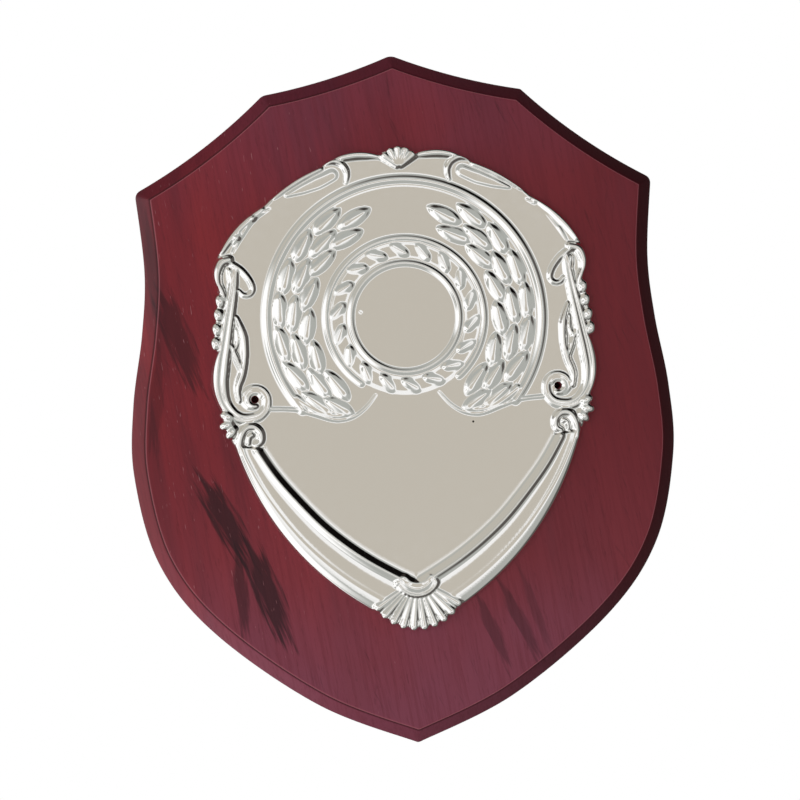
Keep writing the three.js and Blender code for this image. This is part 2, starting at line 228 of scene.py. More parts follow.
class Path:
    """A drawn line, walked by share of its length."""

    def __init__(self, points: np.ndarray) -> None:
        """Keep the points and how far along the line each lies.

        Args:
            points: One row of x, y for each point.
        """
        self.points = np.asarray(points, float)
        steps = np.hypot(*np.diff(self.points, axis=0).T)
        self.reach = np.concatenate([[0.0], np.cumsum(steps)])

    @property
    def length(self) -> float:
        """Length of the whole line in millimetres."""
        return float(self.reach[-1])

    @classmethod
    def through(cls, marks: Sequence[Mark], steps: int = 60) -> "Path":
        """Draw a smooth line through marks.

        Args:
            marks: Points that the line passes, in order.
            steps: How many short pieces the line gets.

        Returns:
            The line.
        """
        marks_at = np.asarray(marks, float)
        last = len(marks_at) - 1
        place = np.linspace(0, last, steps + 1)
        index = np.minimum(place.astype(int), last - 1)
        w = (place - index)[:, None]
        before = marks_at[np.maximum(index - 1, 0)]
        here, there = marks_at[index], marks_at[index + 1]
        beyond = marks_at[np.minimum(index + 2, last)]
        leave, arrive = (there - before) / 2, (beyond - here) / 2
        return cls(
            (2 * here - 2 * there + leave + arrive) * w**3
            + (-3 * here + 3 * there - 2 * leave - arrive) * w**2
            + leave * w
            + here
        )

    @classmethod
    def bowed(cls, start: Mark, end: Mark, bow: float, steps: int = 48) -> "Path":
        """Draw an edge from corner to corner that bows out by a stated rise.

        Args:
            start: First corner.
            end: Last corner.
            bow: Rise at the middle, to the left of the way drawn.
            steps: How many short pieces the edge gets.

        Returns:
            The edge.
        """
        a, b = np.asarray(start, float), np.asarray(end, float)
        across = np.array([-(b - a)[1], (b - a)[0]]) / np.hypot(*(b - a))
        knee = (a + b) / 2 + 2 * bow * across
        w = np.linspace(0, 1, steps + 1)[:, None]
        return cls((1 - w) ** 2 * a + 2 * w * (1 - w) * knee + w**2 * b)

    @classmethod
    def arc(cls, centre: Mark, radii: Mark, degrees: Mark, steps: int = 72) -> "Path":
        """Draw an arc, or a spiral where its two radii differ.

        Args:
            centre: Middle of the arc.
            radii: Radius at the start and at the end.
            degrees: Angle at the start and at the end.
            steps: How many short pieces the arc gets.

        Returns:
            The arc.
        """
        angle = np.radians(np.linspace(degrees[0], degrees[1], steps + 1))
        radius = np.linspace(radii[0], radii[1], steps + 1)
        return cls(np.stack([centre[0] + radius * np.cos(angle), centre[1] + radius * np.sin(angle)], axis=1))

    def at(self, shares: np.ndarray) -> np.ndarray:
        """Return the points at these shares of the length."""
        walked = np.clip(shares, 0, 1) * self.length
        return np.stack([np.interp(walked, self.reach, self.points[:, k]) for k in (0, 1)], axis=-1)

    def heading(self, shares: np.ndarray) -> np.ndarray:
        """Return the direction of travel.

        Args:
            shares: Shares of the length.

        Returns:
            One unit direction for each share.
        """
        step, middle = 0.004, np.asarray(shares)
        ahead = self.at(np.minimum(middle + step, 1)) - self.at(np.maximum(middle - step, 0))
        return ahead / np.linalg.norm(ahead, axis=-1, keepdims=True)

    def flipped(self, side: int = -1, back: bool = False) -> "Path":
        """Return the line on the plaque's other side, walked backwards if asked."""
        points = self.points * (side, 1)
        return Path(points[::-1] if back else points)


# Finishes


def start_material(name: str) -> tuple[bpy.types.Material, bpy.types.NodeSocket]:
    """Start a material that holds nothing but the place on the object.

    Args:
        name: Its name.

    Returns:
        The material and the socket that gives object coordinates.
    """
    made = bpy.data.materials.new(name)
    made.use_nodes = True
    made.node_tree.nodes.clear()
    return made, add_node(made.node_tree, "ShaderNodeTexCoord").outputs["Object"]


class Measure(Enum):
    """What a wash of colour follows across the wood."""

    ACROSS = "metres to the right of the middle"
    UP = "metres above the middle"
    CLOUDED = "metres above the middle, wandering with a cloud"
    FIBRE = "wood fibre"
    PORES = "short pores, at 0 in their middles"
    CHALK = "pores, counted higher towards the left"
    OUT = "millimetres off the wall"
    STREAK = "nearness to a dark streak, feathered by its strands"


@dataclass(frozen=True)
class Span:
    """How a wash comes in along one measure.

    Attributes:
        measure: What it follows.
        start: Value at which nothing shows.
        end: Value at which the most shows.
        top: The most that shows.
    """

    measure: Measure
    start: float
    end: float
    top: float = 1.0


@dataclass(frozen=True)
class Wash:
    """A colour laid over the wood where all its spans meet.

    Attributes:
        tone: sRGB colour.
        spans: Where it shows.
    """

    tone: str
    spans: tuple[Span, ...]


@dataclass(frozen=True)
class DarkStreak:
    """One near-black streak of figure in the board's face.

    Attributes:
        middle: Where it lies on the board.
        length: How long it runs.
        width: How wide it is.
        lean: Degrees that its top leans to the left.
        strength: How near to black it comes.
    """

    middle: Mark
    length: float
    width: float
    lean: float
    strength: float


@dataclass(frozen=True)
class StainedWood:
    """Rosewood-stained hardwood under satin lacquer.

    The stain gives a deep wine red, the sunk pores short dark and pale dashes along the grain, and the
    lacquer a soft grey sheen over it all. Colour is also painted in for light and shade: a purple painted
    sheen towards the toe and less so the top, painted light towards the toe, painted shade towards the right,
    and on the edge painted shade over the bevel and quirk and a painted highlight along the arris. Sizes of
    marks are their width and length in millimetres. Fibre and pores are really about 0.1 mm wide, too fine to
    show, so they are drawn as coarse as they need to show.
    """

    name: str = "stained_wood"
    deep: str = "70222e"
    body: str = "8f2733"
    warm: str = "9e2c35"
    soot: str = "1d0815"
    fibre: Mark = (0.55, 15.0)
    figure: Mark = (13.0, 110.0)
    pores: Mark = (0.4, 3.0)
    cloud: Mark = (34.0, 44.0)
    strand: Mark = (0.9, 14.0)
    wisp: Mark = (3.6, 26.0)
    lean: float = 9.0
    tones_and_painted_light: tuple[Wash, ...] = (
        # painted shade: darker to the right, away from the light on the left
        Wash("6e202c", (Span(Measure.ACROSS, -0.035, 0.05, 0.55),)),
        # painted sheen: purple at the toe, and less so at the top
        Wash("89445f", (Span(Measure.CLOUDED, -0.01, -0.05, 0.9),)),
        Wash("89445f", (Span(Measure.CLOUDED, 0.06, 0.11, 0.45),)),
        # painted light: lighter towards the toe
        Wash("a64f60", (Span(Measure.UP, 0.0, -0.06, 0.35),)),
        # stain gathered between fibres and in pores
        Wash("70222e", (Span(Measure.FIBRE, 0.56, 0.36, 0.24),)),
        Wash("4d1522", (Span(Measure.PORES, 0.36, 0.27, 0.2),)),
    )
    wear_and_painted_edge_shading: tuple[Wash, ...] = (
        # pale flecks where the lacquer has lifted off the pores
        Wash("c8858d", (Span(Measure.CHALK, 0.77, 0.84, 0.5),)),
        # painted shade: the bevel darker, most of all on the right and at the top
        Wash("360b14", (Span(Measure.OUT, 11.3, 11.1), Span(Measure.ACROSS, -0.035, 0.065, 0.85))),
        Wash("360b14", (Span(Measure.OUT, 11.3, 11.1), Span(Measure.UP, 0.02, 0.05, 0.3))),
        # painted shade in the quirk, and a painted highlight along the arris above it
        Wash("3d1019", (Span(Measure.OUT, 11.0, 11.3, 0.75), Span(Measure.OUT, 11.62, 11.4))),
        Wash("bf6e79", (Span(Measure.OUT, 11.6, 11.8, 0.55), Span(Measure.OUT, 11.995, 11.97))),
    )
    streaks: tuple[DarkStreak, ...] = (
        DarkStreak((-42.5, -26.0), 38.0, 12.0, 28.0, 0.78),
        DarkStreak((-33.5, -43.0), 44.0, 12.0, 21.0, 0.78),
        DarkStreak((-39.5, -43.0), 34.0, 6.0, 6.0, 0.6),
        DarkStreak((-51.5, 16.0), 44.0, 12.0, 21.0, 0.55),
        DarkStreak((-57.0, 33.0), 40.0, 6.0, 5.0, 0.35),
        DarkStreak((-57.0, 2.0), 44.0, 6.0, -4.0, 0.35),
        DarkStreak((18.2, -54.5), 30.0, 5.6, 24.0, 0.42),
        DarkStreak((24.6, -52.5), 36.0, 5.6, 27.0, 0.44),
        DarkStreak((28.5, -51.0), 36.0, 4.2, 20.0, 0.26),
    )
    # the streaks stay off the back
    streak_depth: Span = Span(Measure.OUT, 3.0, 6.0)

    def grained(
        self,
        tree: bpy.types.NodeTree,
        place: bpy.types.NodeSocket,
        size: Mark,
        detail: float,
        wander: float = 0.0,
    ) -> bpy.types.NodeSocket:
        """Draw marks that are long along the grain.

        Args:
            tree: The material's nodes.
            place: Where on the board, turned to the grain.
            size: Width and length of one mark, in millimetres.
            detail: How many finer layers the marks have.
            wander: How much they distort.

        Returns:
            The marks, from 0 to 1.
        """
        across, along = 1 / (size[0] * MM), 1 / (size[1] * MM)
        # Marks run a few times their width into the wood.
        stretched = add_node(
            tree, "ShaderNodeMapping", {"Vector": place, "Scale": (across, across / 4, along)}
        ).outputs["Vector"]
        return add_node(
            tree,
            "ShaderNodeTexNoise",
            {"Vector": stretched, "Scale": 1.0, "Detail": detail, "Roughness": 0.58, "Distortion": wander},
        ).outputs["Fac"]

    def washed(
        self,
        tree: bpy.types.NodeTree,
        under: bpy.types.NodeSocket,
        wash: Wash,
        found: dict[Measure, bpy.types.NodeSocket],
    ) -> bpy.types.NodeSocket:
        """Lay a wash over a colour.

        Args:
            tree: The material's nodes.
            under: The colour below.
            wash: The wash.
            found: The socket of each measure.

        Returns:
            Both colours together.
        """
        share: Optional[bpy.types.NodeSocket] = None
        for span in wash.spans:
            limits = {"From Min": span.start, "From Max": span.end, "To Min": 0.0, "To Max": span.top}
            eased = add_node(
                tree,
                "ShaderNodeMapRange",
                {"Value": found[span.measure], **limits},
                interpolation_type="SMOOTHSTEP",
            ).outputs["Result"]
            if share is None:
                share = eased
                continue
            share = add_node(tree, "ShaderNodeMath", {0: share, 1: eased}, operation="MULTIPLY").outputs[0]
        return add_node(
            tree, "ShaderNodeMix", {0: share, 6: under, 7: linear(wash.tone)}, data_type="RGBA"
        ).outputs[2]

    def streaked(
        self, tree: bpy.types.NodeTree, where: bpy.types.NodeSocket, mark: DarkStreak
    ) -> bpy.types.NodeSocket:
        """Measure the wood against one dark streak, feathered into strands along its length.

        Args:
            tree: The material's nodes.
            where: Object coordinates.
            mark: The streak.

        Returns:
            How near the streak is, feathered by its strands.
        """
        centred = add_node(
            tree,
            "ShaderNodeMapping",
            {"Vector": where, "Location": (-mark.middle[0] * MM, 0, -mark.middle[1] * MM)},
        ).outputs["Vector"]
        turned = add_node(
            tree, "ShaderNodeMapping", {"Vector": centred, "Rotation": (0, math.radians(mark.lean), 0)}
        ).outputs["Vector"]
        shaped = add_node(
            tree,
            "ShaderNodeMapping",
            {"Vector": turned, "Scale": (2 / (mark.width * MM), 0, 2 / (mark.length * MM))},
        ).outputs["Vector"]
        away = add_node(tree, "ShaderNodeVectorMath", {0: shaped}, operation="LENGTH").outputs["Value"]
        patch = add_node(
            tree,
            "ShaderNodeMapRange",
            {"Value": away, "From Min": 1.05, "From Max": 0.0, "To Min": 0.0, "To Max": 0.62},
            interpolation_type="SMOOTHSTEP",
        ).outputs["Result"]
        # The patch is too weak by itself, and strands and wisps lift it into sight here and there.
        strands = self.grained(tree, turned, self.strand, 3.0, 0.5)
        wisps = self.grained(tree, turned, self.wisp, 3.0, 0.6)
        summed = add_node(tree, "ShaderNodeMath", {0: patch, 1: strands}, operation="ADD").outputs[0]
        return add_node(
            tree, "ShaderNodeMath", {0: wisps, 1: 0.7, 2: summed}, operation="MULTIPLY_ADD"
        ).outputs[0]

    def measures(
        self, tree: bpy.types.NodeTree, where: bpy.types.NodeSocket, grain: bpy.types.NodeSocket
    ) -> dict[Measure, bpy.types.NodeSocket]:
        """Set up all that the washes follow.

        Args:
            tree: The material's nodes.
            where: Object coordinates.
            grain: The same, turned to the grain.

        Returns:
            The socket of each measure.
        """
        place = add_node(tree, "ShaderNodeSeparateXYZ", {"Vector": where}).outputs
        pores = self.grained(tree, grain, self.pores, 1.0)
        cloud = self.grained(tree, where, self.cloud, 2.0, 0.5)
        sums = {
            Measure.CLOUDED: ({0: cloud, 1: 0.05, 2: place["Z"]}, "MULTIPLY_ADD"),
            Measure.CHALK: ({0: place["X"], 1: -1.0, 2: pores}, "MULTIPLY_ADD"),
            Measure.OUT: ({0: place["Y"], 1: -1 / MM}, "MULTIPLY"),
        }
        found = {
            key: add_node(tree, "ShaderNodeMath", terms, operation=kind).outputs[0]
            for key, (terms, kind) in sums.items()
        }
        found[Measure.ACROSS], found[Measure.UP] = place["X"], place["Z"]
        found[Measure.FIBRE] = self.grained(tree, grain, self.fibre, 3.0, 0.3)
        found[Measure.PORES] = pores
        return found

    def material(self) -> bpy.types.Material:
        """Build the finish.

        Returns:
            Its material.
        """
        made, where = start_material(self.name)
        tree = made.node_tree
        grain = add_node(
            tree, "ShaderNodeMapping", {"Vector": where, "Rotation": (0, math.radians(self.lean), 0)}
        ).outputs["Vector"]
        # Broad figure in three near tones of red.
        figure = self.grained(tree, grain, self.figure, 4.0, 0.8)
        toned = add_node(tree, "ShaderNodeValToRGB", {"Fac": figure})
        ramp = toned.color_ramp
        ramp.elements[0].position, ramp.elements[0].color = 0.3, linear(self.deep)
        ramp.elements[1].position, ramp.elements[1].color = 0.7, linear(self.warm)
        ramp.elements.new(0.5).color = linear(self.body)
        colour = toned.outputs["Color"]
        found = self.measures(tree, where, grain)
        # The wood's tones, with painted sheen, painted light and painted shade laid among them.
        for wash in self.tones_and_painted_light:
            colour = self.washed(tree, colour, wash, found)
        for mark in self.streaks:
            found[Measure.STREAK] = self.streaked(tree, where, mark)
            dark = Span(Measure.STREAK, 1.04, 1.34, mark.strength)
            colour = self.washed(tree, colour, Wash(self.soot, (self.streak_depth, dark)), found)
        # Pale flecks, then painted shade over the bevel and quirk and a painted highlight on the arris.
        for wash in self.wear_and_painted_edge_shading:
            colour = self.washed(tree, colour, wash, found)
        # The lacquer sinks into the open grain: a soft grey sheen, a little duller along the fibres.
        fibre = found[Measure.FIBRE]
        rough = add_node(
            tree,
            "ShaderNodeMapRange",
            {"Value": fibre, "From Min": 0.3, "From Max": 0.7, "To Min": 0.47, "To Max": 0.38},
        ).outputs["Result"]
        relief = add_node(
            tree, "ShaderNodeBump", {"Strength": 0.22, "Distance": 0.0001, "Height": fibre}
        ).outputs["Normal"]
        shader = add_node(
            tree,
            "ShaderNodeBsdfPrincipled",
            {
                "Base Color": colour, "Roughness": rough, "Normal": relief, "IOR": 1.5,
                "Specular IOR Level": 0.27,
            },  # fmt: skip
        )
        add_node(tree, "ShaderNodeOutputMaterial", {"Surface": shader.outputs["BSDF"]})
        return made


@dataclass(frozen=True)
class SilverSheet:
    """Nickel-bright plated sheet, pressed and then polished.

    The plating mirrors the room in clean bands, and faint ripples from pressing and wiping soften it on the
    flats. One small dark speck lies on the label field. Sizes are in millimetres. Wiping marks are really
    hair-fine, too fine to show, so the haze is drawn as coarse as it needs to show.
    """

    name: str = "silver_metal"
    tone: str = "f4f3f1"
    ripple: float = 7.0
    haze: float = 1.6
    speck: tuple[float, float, float] = (15.3, -13.2, -5.6)
    speck_radius: float = 0.3
    speck_tone: str = "2a2522"

    def material(self) -> bpy.types.Material:
        """Build the finish.

        Returns:
            Its material.
        """
        made, where = start_material(self.name)
        tree = made.node_tree
        # Bright plating gives clean reflections, and pressing leaves them slightly wavy.
        wave = add_node(
            tree,
            "ShaderNodeTexNoise",
            {"Vector": where, "Scale": 1 / (self.ripple * MM), "Detail": 1.0, "Roughness": 0.4},
        ).outputs["Fac"]
        wiped = add_node(
            tree,
            "ShaderNodeTexNoise",
            {"Vector": where, "Scale": 1 / (self.haze * MM), "Detail": 4.0, "Roughness": 0.6},
        ).outputs["Fac"]
        rough = add_node(
            tree,
            "ShaderNodeMapRange",
            {"Value": wiped, "From Min": 0.3, "From Max": 0.7, "To Min": 0.06, "To Max": 0.11},
        ).outputs["Result"]
        relief = add_node(
            tree, "ShaderNodeBump", {"Strength": 0.1, "Distance": 0.00004, "Height": wave}
        ).outputs["Normal"]
        # The dark speck, a hole in the plating, sits on one spot of the label field.
        spot = tuple(c * MM for c in self.speck)
        away = add_node(
            tree, "ShaderNodeVectorMath", {0: where, 1: spot}, operation="DISTANCE"
        ).outputs["Value"]
        edge = self.speck_radius * MM
        pitted = add_node(
            tree, "ShaderNodeMapRange", {"Value": away, "From Min": edge, "From Max": edge * 0.6}
        ).outputs["Result"]
        colour = add_node(
            tree,
            "ShaderNodeMix",
            {0: pitted, 6: linear(self.tone), 7: linear(self.speck_tone)},
            data_type="RGBA",
        ).outputs[2]
        shader = add_node(
            tree,
            "ShaderNodeBsdfPrincipled",
            {"Base Color": colour, "Metallic": 1.0, "Roughness": rough, "Normal": relief},
        )
        add_node(tree, "ShaderNodeOutputMaterial", {"Surface": shader.outputs["BSDF"]})
        return made


@dataclass(frozen=True)
class PaleFloor:
    """Smooth matt paint: one even pale tone with a faint mottle in its sheen."""

    name: str = "pale_floor"
    tone: str = "f2f1ef"
    lift: float = 0.3
    mottle: float = 83.3

    def material(self) -> bpy.types.Material:
        """Build the finish.

        Returns:
            Its material.
        """
        made, where = start_material(self.name)
        tree = made.node_tree
        # Matt paint spreads the light evenly and shows no reflection.
        mottle = add_node(
            tree, "ShaderNodeTexNoise", {"Vector": where, "Scale": 1 / (self.mottle * MM), "Detail": 2.0}
        ).outputs["Fac"]
        rough = add_node(
            tree, "ShaderNodeMapRange", {"Value": mottle, "To Min": 0.75, "To Max": 0.85}
        ).outputs["Result"]
        shader = add_node(
            tree,
            "ShaderNodeBsdfPrincipled",
            {
                "Base Color": linear(self.tone), "Roughness": rough,
                "Emission Color": linear(self.tone), "Emission Strength": self.lift,
            },  # fmt: skip
        )
        add_node(tree, "ShaderNodeOutputMaterial", {"Surface": shader.outputs["BSDF"]})
        return made


# Board


@dataclass
class ShieldBoard:
    """The wooden shield: moulded edge, pilot holes behind the front and a keyhole slot in its back.

    The real board is 127 by 160 mm. It is drawn a hair smaller, so that its rounded outline stays within
    that. The points of the outline are shares of half the width and half the height.
    """

    width: float = 126.8
    height: float = 159.96
    thick: float = 12.0
    bevel_width: float = 3.4
    bevel_depth: float = 3.4
    quirk: float = 0.5
    back_arris: float = 0.5
    shoulder_round: float = 2.2
    right_peak_round: float = 0.9
    left_peak_round: float = 3.0
    tip_round: float = 3.2
    toe_round: float = 1.2
    least_round: float = 0.4
    tip: Mark = (0.0, 1.0045)
    peak: Mark = (0.476, 0.897)
    tip_bow: float = -0.9
    scallop_bow: float = -1.3
    side: tuple[Mark, ...] = (
        (0.951, 0.625), (0.928, 0.4), (0.946, 0.219), (0.988, 0.014), (0.995, -0.19),
        (0.918, -0.445), (0.724, -0.655), (0.36, -0.876), (0.0, -1.001),
    )  # fmt: skip
    edge_steps: tuple[int, ...] = (44, 48, 190)
    corner_steps: int = 8
    crease: float = 35.0
    keyhole_at: float = 46.0
    keyhole_entry: float = 10.0
    keyhole_rise: float = 12.0
    keyhole_neck: float = 5.0
    keyhole_lip: float = 2.4
    keyhole_depth: float = 7.0
    pilot: float = 1.5
    pilot_depth: float = 5.0
    finish: StainedWood = field(default_factory=StainedWood)

    def edges(self) -> list[Path]:
        """Draw the edges of the outline, going round from the top point by way of the right side.

        Returns:
            Three edges of the right side and three of the left.
        """
        half = np.array([self.width / 2, self.height / 2])
        tip, peak = np.array(self.tip) * half, np.array(self.peak) * half
        side = np.array(self.side) * half
        right = [
            Path.bowed(tuple(tip), tuple(peak), self.tip_bow),
            Path.bowed(tuple(peak), tuple(side[0]), self.scallop_bow),
            Path.through([tuple(p) for p in side], 400),
        ]
        return right + [edge.flipped(back=True) for edge in reversed(right)]

    def ring(self, inset: float) -> np.ndarray:
        """Draw the outline set in by a distance, with its corners rounded.

        Args:
            inset: How far in from the side.

        Returns:
            The ring's points, with the same count at every inset.
        """
        edges = self.edges()
        rounds = (
            self.right_peak_round, self.shoulder_round, self.toe_round,
            self.shoulder_round, self.left_peak_round, self.tip_round,
        )  # fmt: skip
        counts = self.edge_steps + self.edge_steps[::-1]
        trims = []
        for k, edge in enumerate(edges):
            after = edges[(k + 1) % len(edges)]
            cosine = float(np.clip(edge.heading(1.0) @ after.heading(0.0), -1, 1))
            radius = inset + max(rounds[k] - inset, self.least_round)
            trims.append(radius * math.tan(math.acos(cosine) / 2))
        runs = []
        for k, edge in enumerate(edges):
            first, last = trims[k - 1] / edge.length, 1 - trims[k] / edge.length
            shares = np.linspace(first, last, counts[k] + 1)
            heading = edge.heading(shares)
            inwards = np.stack([heading[:, 1], -heading[:, 0]], axis=1)
            runs.append((edge.at(shares) + inset * inwards, heading))
        points = []
        for k, (line, heading) in enumerate(runs):
            line_after, heading_after = runs[(k + 1) % len(runs)]
            start, end = line[-1], line_after[0]
            leave, arrive = heading[-1], heading_after[0]
            gap = end - start
            apart = leave[0] * arrive[1] - leave[1] * arrive[0]
            knee = start + (gap[0] * arrive[1] - gap[1] * arrive[0]) / apart * leave
            w = np.linspace(0, 1, self.corner_steps + 1)[:-1, None]
            points += [line[:-1], (1 - w) ** 2 * start + 2 * w * (1 - w) * knee + w**2 * end]
        return np.concatenate(points)

    def profile(self) -> list[Mark]:
        """Draw the edge moulding from back to face: arris, square side, bevel, and the quirk under the face.

        Returns:
            Distances in from the side, each with its height off the wall.
        """
        top, arris, step = self.thick, self.back_arris, self.bevel_width
        ledge = top - self.quirk
        fall = ledge - self.bevel_depth
        return [
            (arris + 0.5, 0.0), (arris, 0.0), (arris * 0.3, arris * 0.3), (0.0, arris), (0.0, arris + 0.5),
            (0.0, fall - 0.35), (0.04, fall - 0.12), (0.2, fall + 0.1), (0.45, fall + 0.36),
            (step - 0.5, ledge - 0.56), (step - 0.12, ledge - 0.24), (step + 0.02, ledge - 0.2),
            (step + 0.12, ledge - 0.06), (step + 0.16, top - 0.3), (step + 0.24, top - 0.1),
            (step + 0.4, top - 0.02), (step + self.quirk + 0.05, top), (step + self.quirk + 0.5, top),
        ]  # fmt: skip

    def slot(self, half: float) -> np.ndarray:
        """Outline the keyhole slot, round at its upper end.

        Args:
            half: Its half width.

        Returns:
            The outline.
        """
        end = self.keyhole_at + self.keyhole_rise
        angle = np.linspace(0, math.pi, 33)
        cap = np.stack([half * np.cos(angle), end + half * np.sin(angle)], axis=1)
        return np.concatenate([[(-half, self.keyhole_at), (half, self.keyhole_at)], cap])

    def cutters(self, pins: Sequence[Mark]) -> list[bpy.types.Object]:
        """Make what the router and the drill take away.

        Each one starts clear of the wood, and no two of them end at the same depth or width.

        Args:
            pins: Where the pilot holes go.

        Returns:
            The cutters.
        """
        floor = self.keyhole_depth
        entry = circle((0.0, self.keyhole_at), self.keyhole_entry / 2, 48)
        cuts = [
            ("entry_cutter", entry, -1.0, floor),
            ("neck_cutter", self.slot(self.keyhole_neck / 2), -1.0, floor - 0.1),
            ("slot_cutter", self.slot(self.keyhole_entry / 2 - 0.01), self.keyhole_lip, floor - 0.02),
        ]
        for k, pin in enumerate(pins):
            hole = circle(pin, self.pilot / 2, 24)
            cuts.append((f"pilot_cutter_{k}", hole, self.thick - self.pilot_depth, self.thick + 1))
        return [lofted(name, (outline, outline), (near, far)) for name, outline, near, far in cuts]

    def build(self, pins: Sequence[Mark]) -> bpy.types.Object:
        """Build and dress the board.

        Args:
            pins: Where the pilot holes go.

        Returns:
            The finished board.
        """
        profile = self.profile()
        rings = [self.ring(inset) for inset, _ in profile]
        blank = lofted("board_blank", rings, [height for _, height in profile])
        cutters = self.cutters(pins)
        for cutter in cutters:
            cut = blank.modifiers.new(cutter.name, "BOOLEAN")
            cut.object, cut.operation, cut.solver = cutter, "DIFFERENCE", "EXACT"
        mesh = baked(blank)
        discard([blank, *cutters])
        mesh.name = "shield_board_wood"
        mesh.materials.clear()
        mesh.materials.append(self.finish.material())
        mesh.polygons.foreach_set("use_smooth", [True] * len(mesh.polygons))
        mesh.set_sharp_from_angle(angle=math.radians(self.crease))
        board = bpy.data.objects.new("shield_board_wood", mesh)
        bpy.context.scene.collection.objects.link(board)
        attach(board, "root")
        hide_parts("shield_board")
        return board


# Pressed front


class Section(Enum):
    """How a pressed form falls from its middle to its edge."""

    ROUND = "half round"
    SOFT = "soft swell"
    FOLD = "folded ridge"
    TWIN = "half round with a soft groove along its middle"
    FLAT = "flat top with sloping sides"

    def fall(self, t: Grid) -> Grid:
        """Shape the form across its width.

        Args:
            t: Distance from the middle as a share of the half width.

        Returns:
            Share of the height, 0 outside the form.
        """
        inside = np.clip(1 - t, 0, 1)
        if self is Section.SOFT:
            return (1 - np.cos(math.pi * inside)) / 2
        if self is Section.FOLD:
            return inside
        if self is Section.FLAT:
            return np.clip(inside * 2.2, 0, 1)
        round_top = np.sqrt(np.clip(1 - np.clip(t, 0, 1) ** 2, 0, 1))
        if self is Section.ROUND:
            return round_top
        return round_top * (1 - 0.5 * np.exp(-((t / 0.24) ** 2)))


@dataclass(frozen=True)
class Drawn:
    """A form that follows a line.

    Attributes:
        line: The middle of the form, drawn on the right side.
        half: Half widths at even shares of the line.
        height: Heights at even shares of the line, below zero for a crease that is sunk.
        section: How the form falls to its edges.
        sides: 1 for the side drawn, -1 for the other side.
    """

    line: Path
    half: tuple[float, ...]
    height: tuple[float, ...]
    section: Section = Section.ROUND
    sides: tuple[int, ...] = (1, -1)


class Pressing(Enum):
    """The small repeated forms that the press tool carries."""

    LAUREL = "laurel leaf"
    GARLAND = "garland leaf"
    FLUTE = "shell flute"
    BEAD = "edge bead"

    def width(self, s: Grid) -> Grid:
        """Shape the outline.

        Args:
            s: Share of the length from the base.

        Returns:
            The half width as a share of the widest.
        """
        if self is Pressing.LAUREL:
            return np.sin(math.pi * np.clip(s, 0.004, 0.996) ** 0.92) ** 0.6
        if self is Pressing.GARLAND:
            return np.sin(math.pi * np.clip(s, 0.004, 0.996) ** 0.85) ** 0.6
        if self is Pressing.FLUTE:
            return (0.3 + 0.7 * s**0.8) * np.sqrt(np.clip(1 - np.clip((s - 0.84) / 0.16, 0, 1) ** 2, 0.02, 1))
        return np.sqrt(np.clip(1 - (2 * s - 1) ** 2, 0.01, 1)) ** 0.8

    def rise(self, s: Grid, t: Grid) -> Grid:
        """Shape the height.

        Args:
            s: Share of the length from the base.
            t: Distance from the middle as a share of the half width, from -1 to 1.

        Returns:
            Share of the greatest height.
        """
        side = np.abs(t)
        ends = np.clip(np.sin(math.pi * np.clip(s, 0, 1)), 0, 1)
        if self is Pressing.LAUREL:
            seam = 0.45 * np.exp(-((t / 0.2) ** 2)) * np.clip(1 - s / 0.4, 0, 1)
            return (1 - 0.82 * side**1.35 - seam) * (0.8 + 0.2 * s) * np.clip(0.12 + ends * 1.6, 0.2, 1)
        if self is Pressing.GARLAND:
            return (1 - 0.8 * side**1.3) * (0.35 + 0.65 * s) * np.clip(ends * 1.8, 0.2, 1)
        if self is Pressing.FLUTE:
            tip = np.sqrt(np.clip(1 - np.clip((s - 0.84) / 0.16, 0, 1) ** 2, 0.03, 1))
            return np.sqrt(np.clip(1 - 0.96 * t**2, 0, 1)) * (0.6 + 0.4 * s) * tip
        return np.sqrt(np.clip(1 - t**2, 0, 1)) * np.sqrt(np.clip(ends, 0.02, 1))


